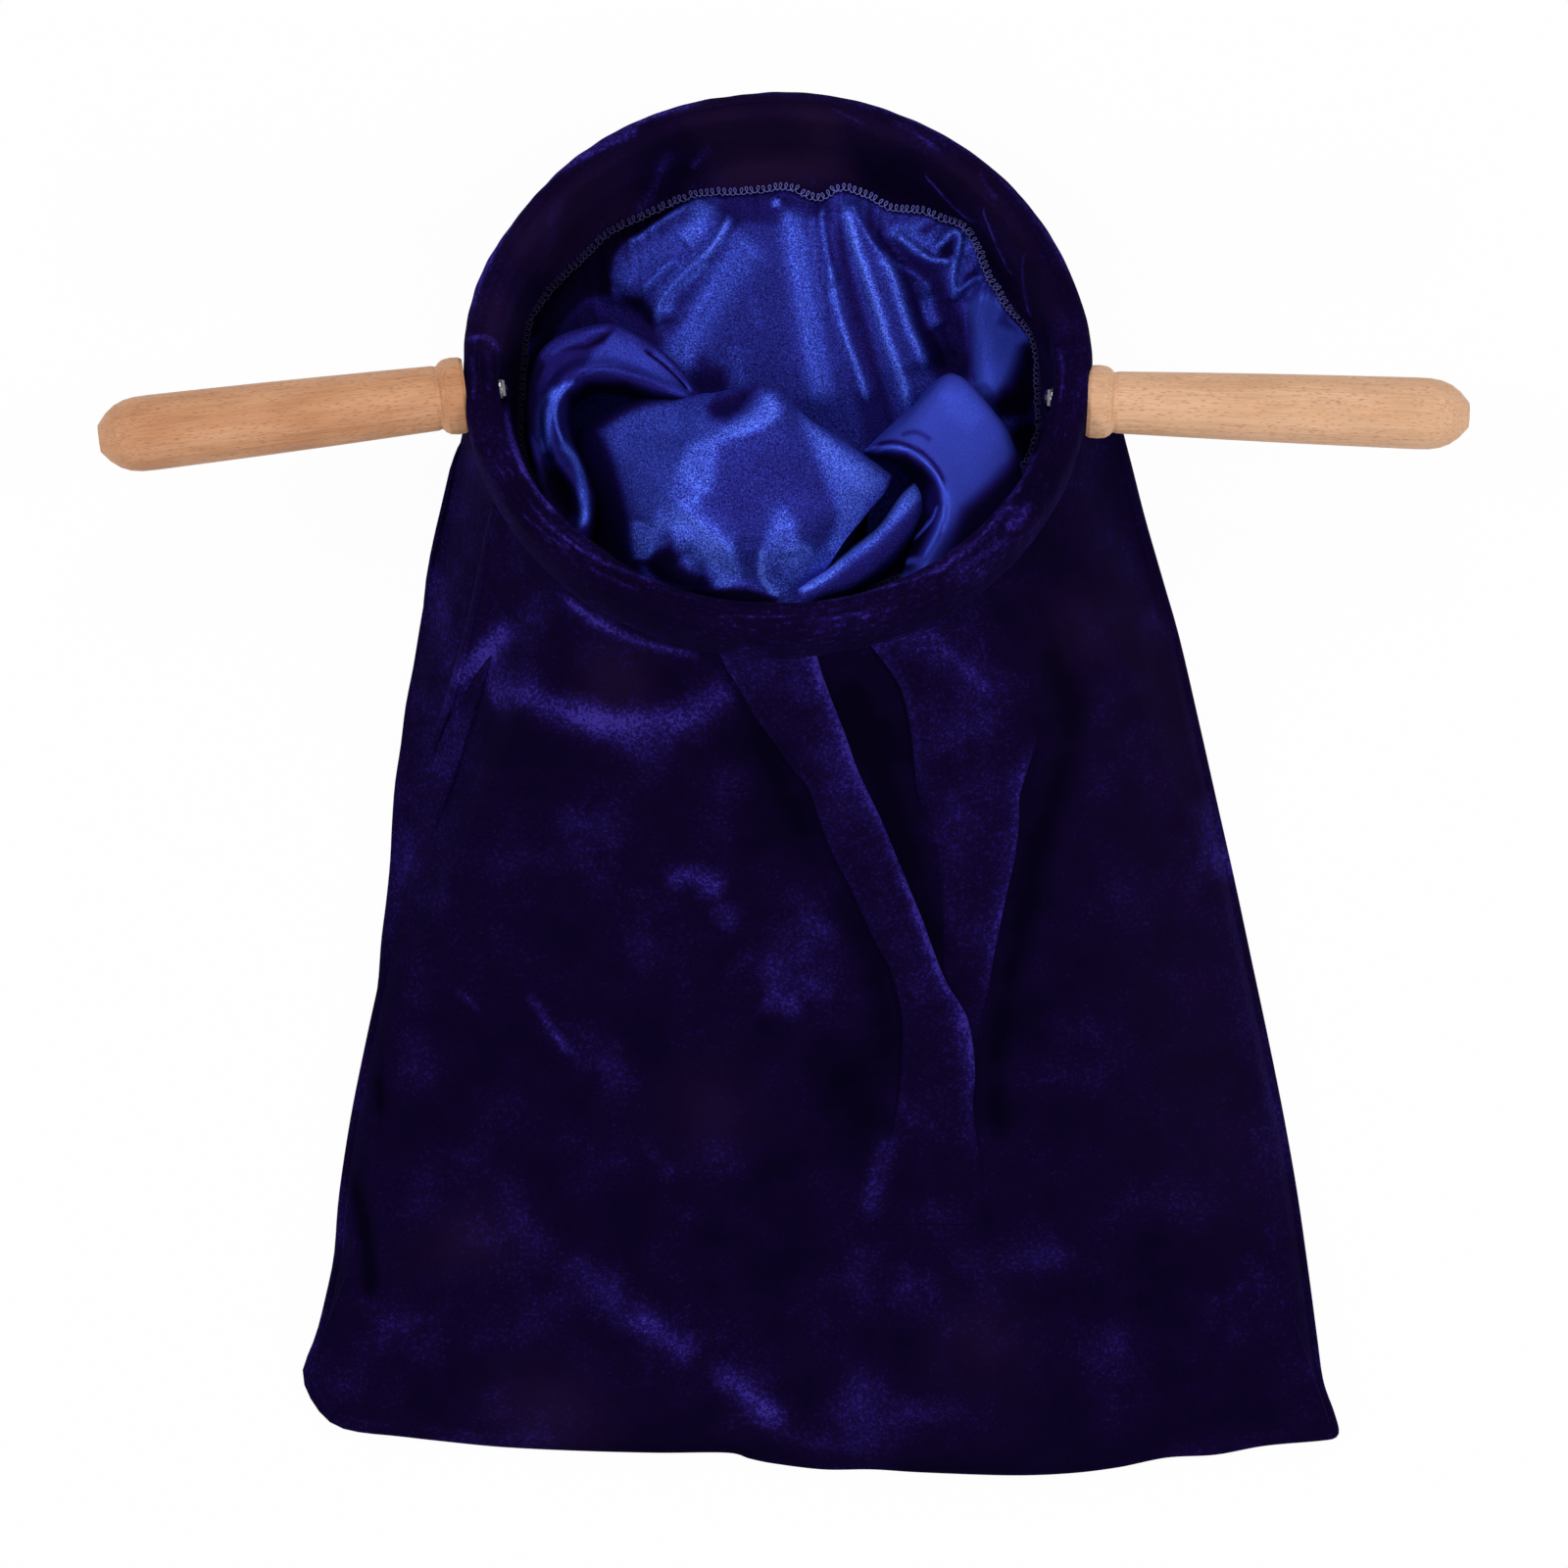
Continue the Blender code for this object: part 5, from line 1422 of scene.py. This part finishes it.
# Painted highlights and painted shade on the flap's colour.
FLAP_PAINTED_LIGHT = table("""
    0.6 9 890,452 925,425 960,388 985,384 1012,416 1034,452 1034,480 1010,512 985,535 972,560 966,520 960,490
        940,466 915,452 890,452
    0.66 9 960,400 985,398 1005,425 990,440 965,425 960,400
    0.1 12 1042,462 1012,494 984,520 972,550 950,600 1010,610 1060,540 1060,462 1042,462
    0.42 2.5 918,444 935,441 952,450
    0.2 2 890,454 912,451 930,456 946,466 958,481 966,497
    0.05 6 886,466 905,462 925,464 942,476 954,492 958,515 950,540 930,580 900,590 880,520 886,466
    0.24 5 948,492 957,500 958,520 950,534 944,515 948,492
    0.78 1.4 888,463 905,457 921,457 936,465 949,476 958,489 963,503 964,518 960,534 953,550 945,565 938,578
    0.7 1.6 966,498 969,512 967,528 961,545
    0.74 1.3 957,514 951,530 940,543 927,554
    0.6 1.2 950,528 938,545 922,560 914,570
    0.6 4 922,574 935,572 945,578
""")
flap = patch("lining_flap", FLAP_NET, 130, 200, 0.50, FLAP_PAINTED_LIGHT, 0.15)

# %% Ribbon beside the flap
RIBBON_LOW = places("800,640 832,612 868,600 896,582 920,556 940,526 954,494")
RIBBON_TOP = places("784,628 813,604 846,584 873,563 901,540 925,506 948,486")
RIBBON_HEIGHT = (78, 80, 79, 76, 72, 66, 58)
RIBBON_NET = net_over(RIBBON_LOW, RIBBON_HEIGHT, [
    (RIBBON_TOP, -0.25, 16), (RIBBON_TOP, 0, 3), (RIBBON_TOP, 0.22, 0.5), (RIBBON_TOP, 0.62, 0.8),
    (RIBBON_TOP, 1, 2.4), (RIBBON_TOP, 1.15, 14),
])
# Painted highlights and painted shade on the ribbon's colour.
RIBBON_PAINTED_LIGHT = table("""
    0.3 5 946,490 925,506 901,540 873,563 846,584 812,604 810,614 850,606 885,592 912,562 936,526 946,490
    0.8 1.6 948,486 926,504 914,520 902,538 888,550 874,561 860,571 846,582 826,594 812,602
    0.78 8.5 944,492 922,516 904,534 886,552 866,566 846,580 816,600
    0.92 5.5 862,568 850,580 834,592 812,604
    0.04 4 946,500 944,530 926,562 900,588 880,606 960,606 966,540 946,500
""")
ribbon = patch("lining_ribbon", RIBBON_NET, 60, 160, 0.40, RIBBON_PAINTED_LIGHT, 0.8)
print("billow, roll, flap and ribbon", [len(piece.data.polygons) for piece in (billow, roll, flap, ribbon)])

# %% [markdown]
# ## Cloth in the room's frame
#
# Each piece of cloth has its placement baked into its points.

# %% Bake the cloth's placement
for piece in (front, pleat_left, pleat_right, back, wall, billow, roll, flap, ribbon):
    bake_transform(piece)

# %% [markdown]
# ## Overlocked edge
#
# A Geometry Nodes tree resamples the seam's path and puts one looped stitch on each point.

# %% Overlock stitches
STITCH_SIDES = 6
PATH_POINTS = 900


def stitch_mesh(name, path, radius, look):
    """A thin closed tube along a path."""
    ahead = np.gradient(path, axis=0)
    ahead /= np.linalg.norm(ahead, axis=1, keepdims=True)
    side = np.cross(ahead, [0.0, 0.0, 1.0])
    side /= np.maximum(np.linalg.norm(side, axis=1, keepdims=True), 1e-9)
    upward = np.cross(side, ahead)
    round_it = (2 * math.pi * np.arange(STITCH_SIDES) / STITCH_SIDES)[None, :, None]
    tube = path[:, None] + radius * (np.cos(round_it) * side[:, None] + np.sin(round_it) * upward[:, None])
    index = np.arange(len(path) * STITCH_SIDES).reshape(len(path), STITCH_SIDES)
    faces = [*quads(index, True, True), index[0, ::-1].tolist(), index[-1].tolist()]
    made = add_mesh(name, tube.reshape(-1, 3), faces, look)
    faces_point_out(made)
    return made


def stitches_along(name, path, stitch, pitch, look, wobble):
    """Places a stitch at even steps along a closed path, its X along the path and its Z upwards."""
    curve = bpy.data.curves.new(name, "CURVE")
    curve.dimensions = "3D"
    spline = curve.splines.new("POLY")
    spline.points.add(len(path) - 1)
    for point, spot in zip(spline.points, path):
        point.co = (*spot, 1.0)
    spline.use_cyclic_u = True
    guide = add_object(name + "_guide", curve)

    inputs = [("Geometry", "Geometry"), ("Pitch", "Float"), ("Wobble", "Float")]
    tree, given, result = node_group(name, "GeometryNodeTree", inputs, inputs[:1])
    pitch_name, wobble_name = (tree.interface.items_tree[label].identifier for label in ("Pitch", "Wobble"))
    most = node(tree, "ShaderNodeCombineXYZ", X=given["Wobble"], Y=given["Wobble"], Z=given["Wobble"]).outputs[0]
    least = node(tree, "ShaderNodeVectorMath", operation="MULTIPLY")
    feed(least.inputs[0], most)
    feed(least.inputs[1], (-1.0, -1.0, -1.0))
    chance = node(tree, "FunctionNodeRandomValue", data_type="FLOAT_VECTOR", Min=least.outputs[0], Max=most, Seed=7)
    askew = node(tree, "FunctionNodeEulerToRotation", Euler=chance.outputs["Value"]).outputs[0]
    tangent = node(tree, "GeometryNodeInputTangent").outputs[0]
    align = node(tree, "FunctionNodeAlignRotationToVector", axis="X", pivot_axis="Z", Vector=tangent).outputs[0]
    turned = node(tree, "FunctionNodeRotateRotation", rotation_space="LOCAL", Rotation=align, Rotate_By=askew)
    points = node(tree, "GeometryNodeResampleCurve", mode="LENGTH", Curve=given["Geometry"], Length=given["Pitch"])
    source = node(tree, "GeometryNodeObjectInfo", Object=stitch).outputs["Geometry"]
    place = node(tree, "GeometryNodeInstanceOnPoints", Points=points.outputs["Curve"], Instance=source)
    settle(place, Rotation=turned.outputs["Rotation"])
    realize = node(tree, "GeometryNodeRealizeInstances", Geometry=place.outputs["Instances"]).outputs[0]
    feed(result["Geometry"], node(tree, "GeometryNodeSetMaterial", Geometry=realize, Material=look).outputs[0])
    change = guide.modifiers.new("stitches", "NODES")
    change.node_group = tree
    change[pitch_name], change[wobble_name] = pitch, wobble

    mesh = bpy.data.meshes.new_from_object(guide.evaluated_get(bpy.context.evaluated_depsgraph_get()))
    mesh.shade_smooth()
    for done in (guide, stitch):
        bpy.data.objects.remove(done)
    made = add_object(name, mesh)
    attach(made, "rim")
    return made


t = np.linspace(0, 1, 17)
loop_x = 0.0022 * (t - 0.5) + 0.0009 * np.sin(2 * math.pi * t)
loop_path = np.column_stack([loop_x, 0.0012 * np.cos(2 * math.pi * t), 0.0006 + 0.0006 * np.sin(math.pi * t)])
loop = stitch_mesh("overlock_loop", loop_path, 0.00015, thread)
circle = np.linspace(0, 2 * math.pi, PATH_POINTS, endpoint=False)
seam_path = seam_line(circle)
seam_path[:, 2] += 0.0007
overlock = stitches_along("overlock_edge", seam_path, loop, 0.0019, thread, 0.26)
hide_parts("serged_seam")
print("overlock", len(overlock.data.polygons), "faces")

# %% Topstitching
t = np.linspace(0, 1, 9)
dash_path = np.column_stack([0.0024 * (t - 0.5), 0 * t, 0.00022 * np.sin(math.pi * t) - 0.0001])
dash = stitch_mesh("topstitch_dash", dash_path, 0.00016, dark_thread)
topstitch = stitches_along("topstitching", rim_point(circle, 0.0966, 0.00945), dash, 0.0030, dark_thread, 0.06)
print("topstitch", len(topstitch.data.polygons), "faces")

# %% [markdown]
# ## Light and floor
#
# Four soft lights round the table give the satin its sheen. The floor and the surroundings look white
# to the camera, but they don't flood the dark velvet.

# %% Floor
FLOOR_REACH = 6
FLOOR_BELOW = 0.0002


def seen_rays(tree):
    """1 for rays from the camera, also after a mirror or glass, and 0 for scattered light."""
    path = node(tree, "ShaderNodeLightPath").outputs
    straight = maths(tree, "MAXIMUM", path["Is Camera Ray"], path["Is Glossy Ray"])
    return maths(tree, "MAXIMUM", straight, path["Is Transmission Ray"])


def make_stage():
    """A paper floor that shines white for the camera."""
    made, tree, shader, _ = new_material("paper")
    settle(shader, Base_Color=(0.80, 0.80, 0.80), Roughness=0.9)
    glow = node(tree, "ShaderNodeEmission", Strength=1.0)
    mixed = node(tree, "ShaderNodeMixShader", Fac=maths(tree, "MULTIPLY", seen_rays(tree), 0.97))
    feed(mixed.inputs[1], shader.outputs[0])
    feed(mixed.inputs[2], glow.outputs[0])
    feed(tree.nodes["Material Output"].inputs["Surface"], mixed.outputs[0])
    corners = FLOOR_REACH * np.array([(-1, -1, 0), (1, -1, 0), (1, 1, 0), (-1, 1, 0)])
    floor = add_mesh("floor", corners, [(0, 1, 2, 3)], made)
    floor.location.z = -FLOOR_BELOW


make_stage()


# %% Lights
def area_light(name, spot, size, power):
    """A round soft light that looks at the bag."""
    data = bpy.data.lights.new(name, "AREA")
    data.shape = "DISK"
    data.size = size
    data.energy = power
    made = add_object(name, data)
    made.location = spot
    made.rotation_mode = "QUATERNION"
    made.rotation_quaternion = (-Vector(spot)).to_track_quat("-Z", "Y")


area_light("left", (-1.5, 0.35, 1.7), 0.8, 15.0)
area_light("right", (1.5, 0.15, 1.7), 0.8, 14.0)
area_light("far", (0.1, 1.3, 1.8), 0.7, 8.0)
area_light("near", (0.2, -1.4, 1.5), 0.8, 11.0)
world = bpy.data.worlds.new("world")
bpy.context.scene.world = world
world.use_nodes = True
sky = world.node_tree
strength = maths(sky, "MULTIPLY_ADD", seen_rays(sky), 0.70, 0.30)
settle(sky.nodes["Background"], Color=(1.0, 1.0, 1.0), Strength=strength)
bpy.context.scene.view_settings.view_transform = "Standard"
print("lights placed")
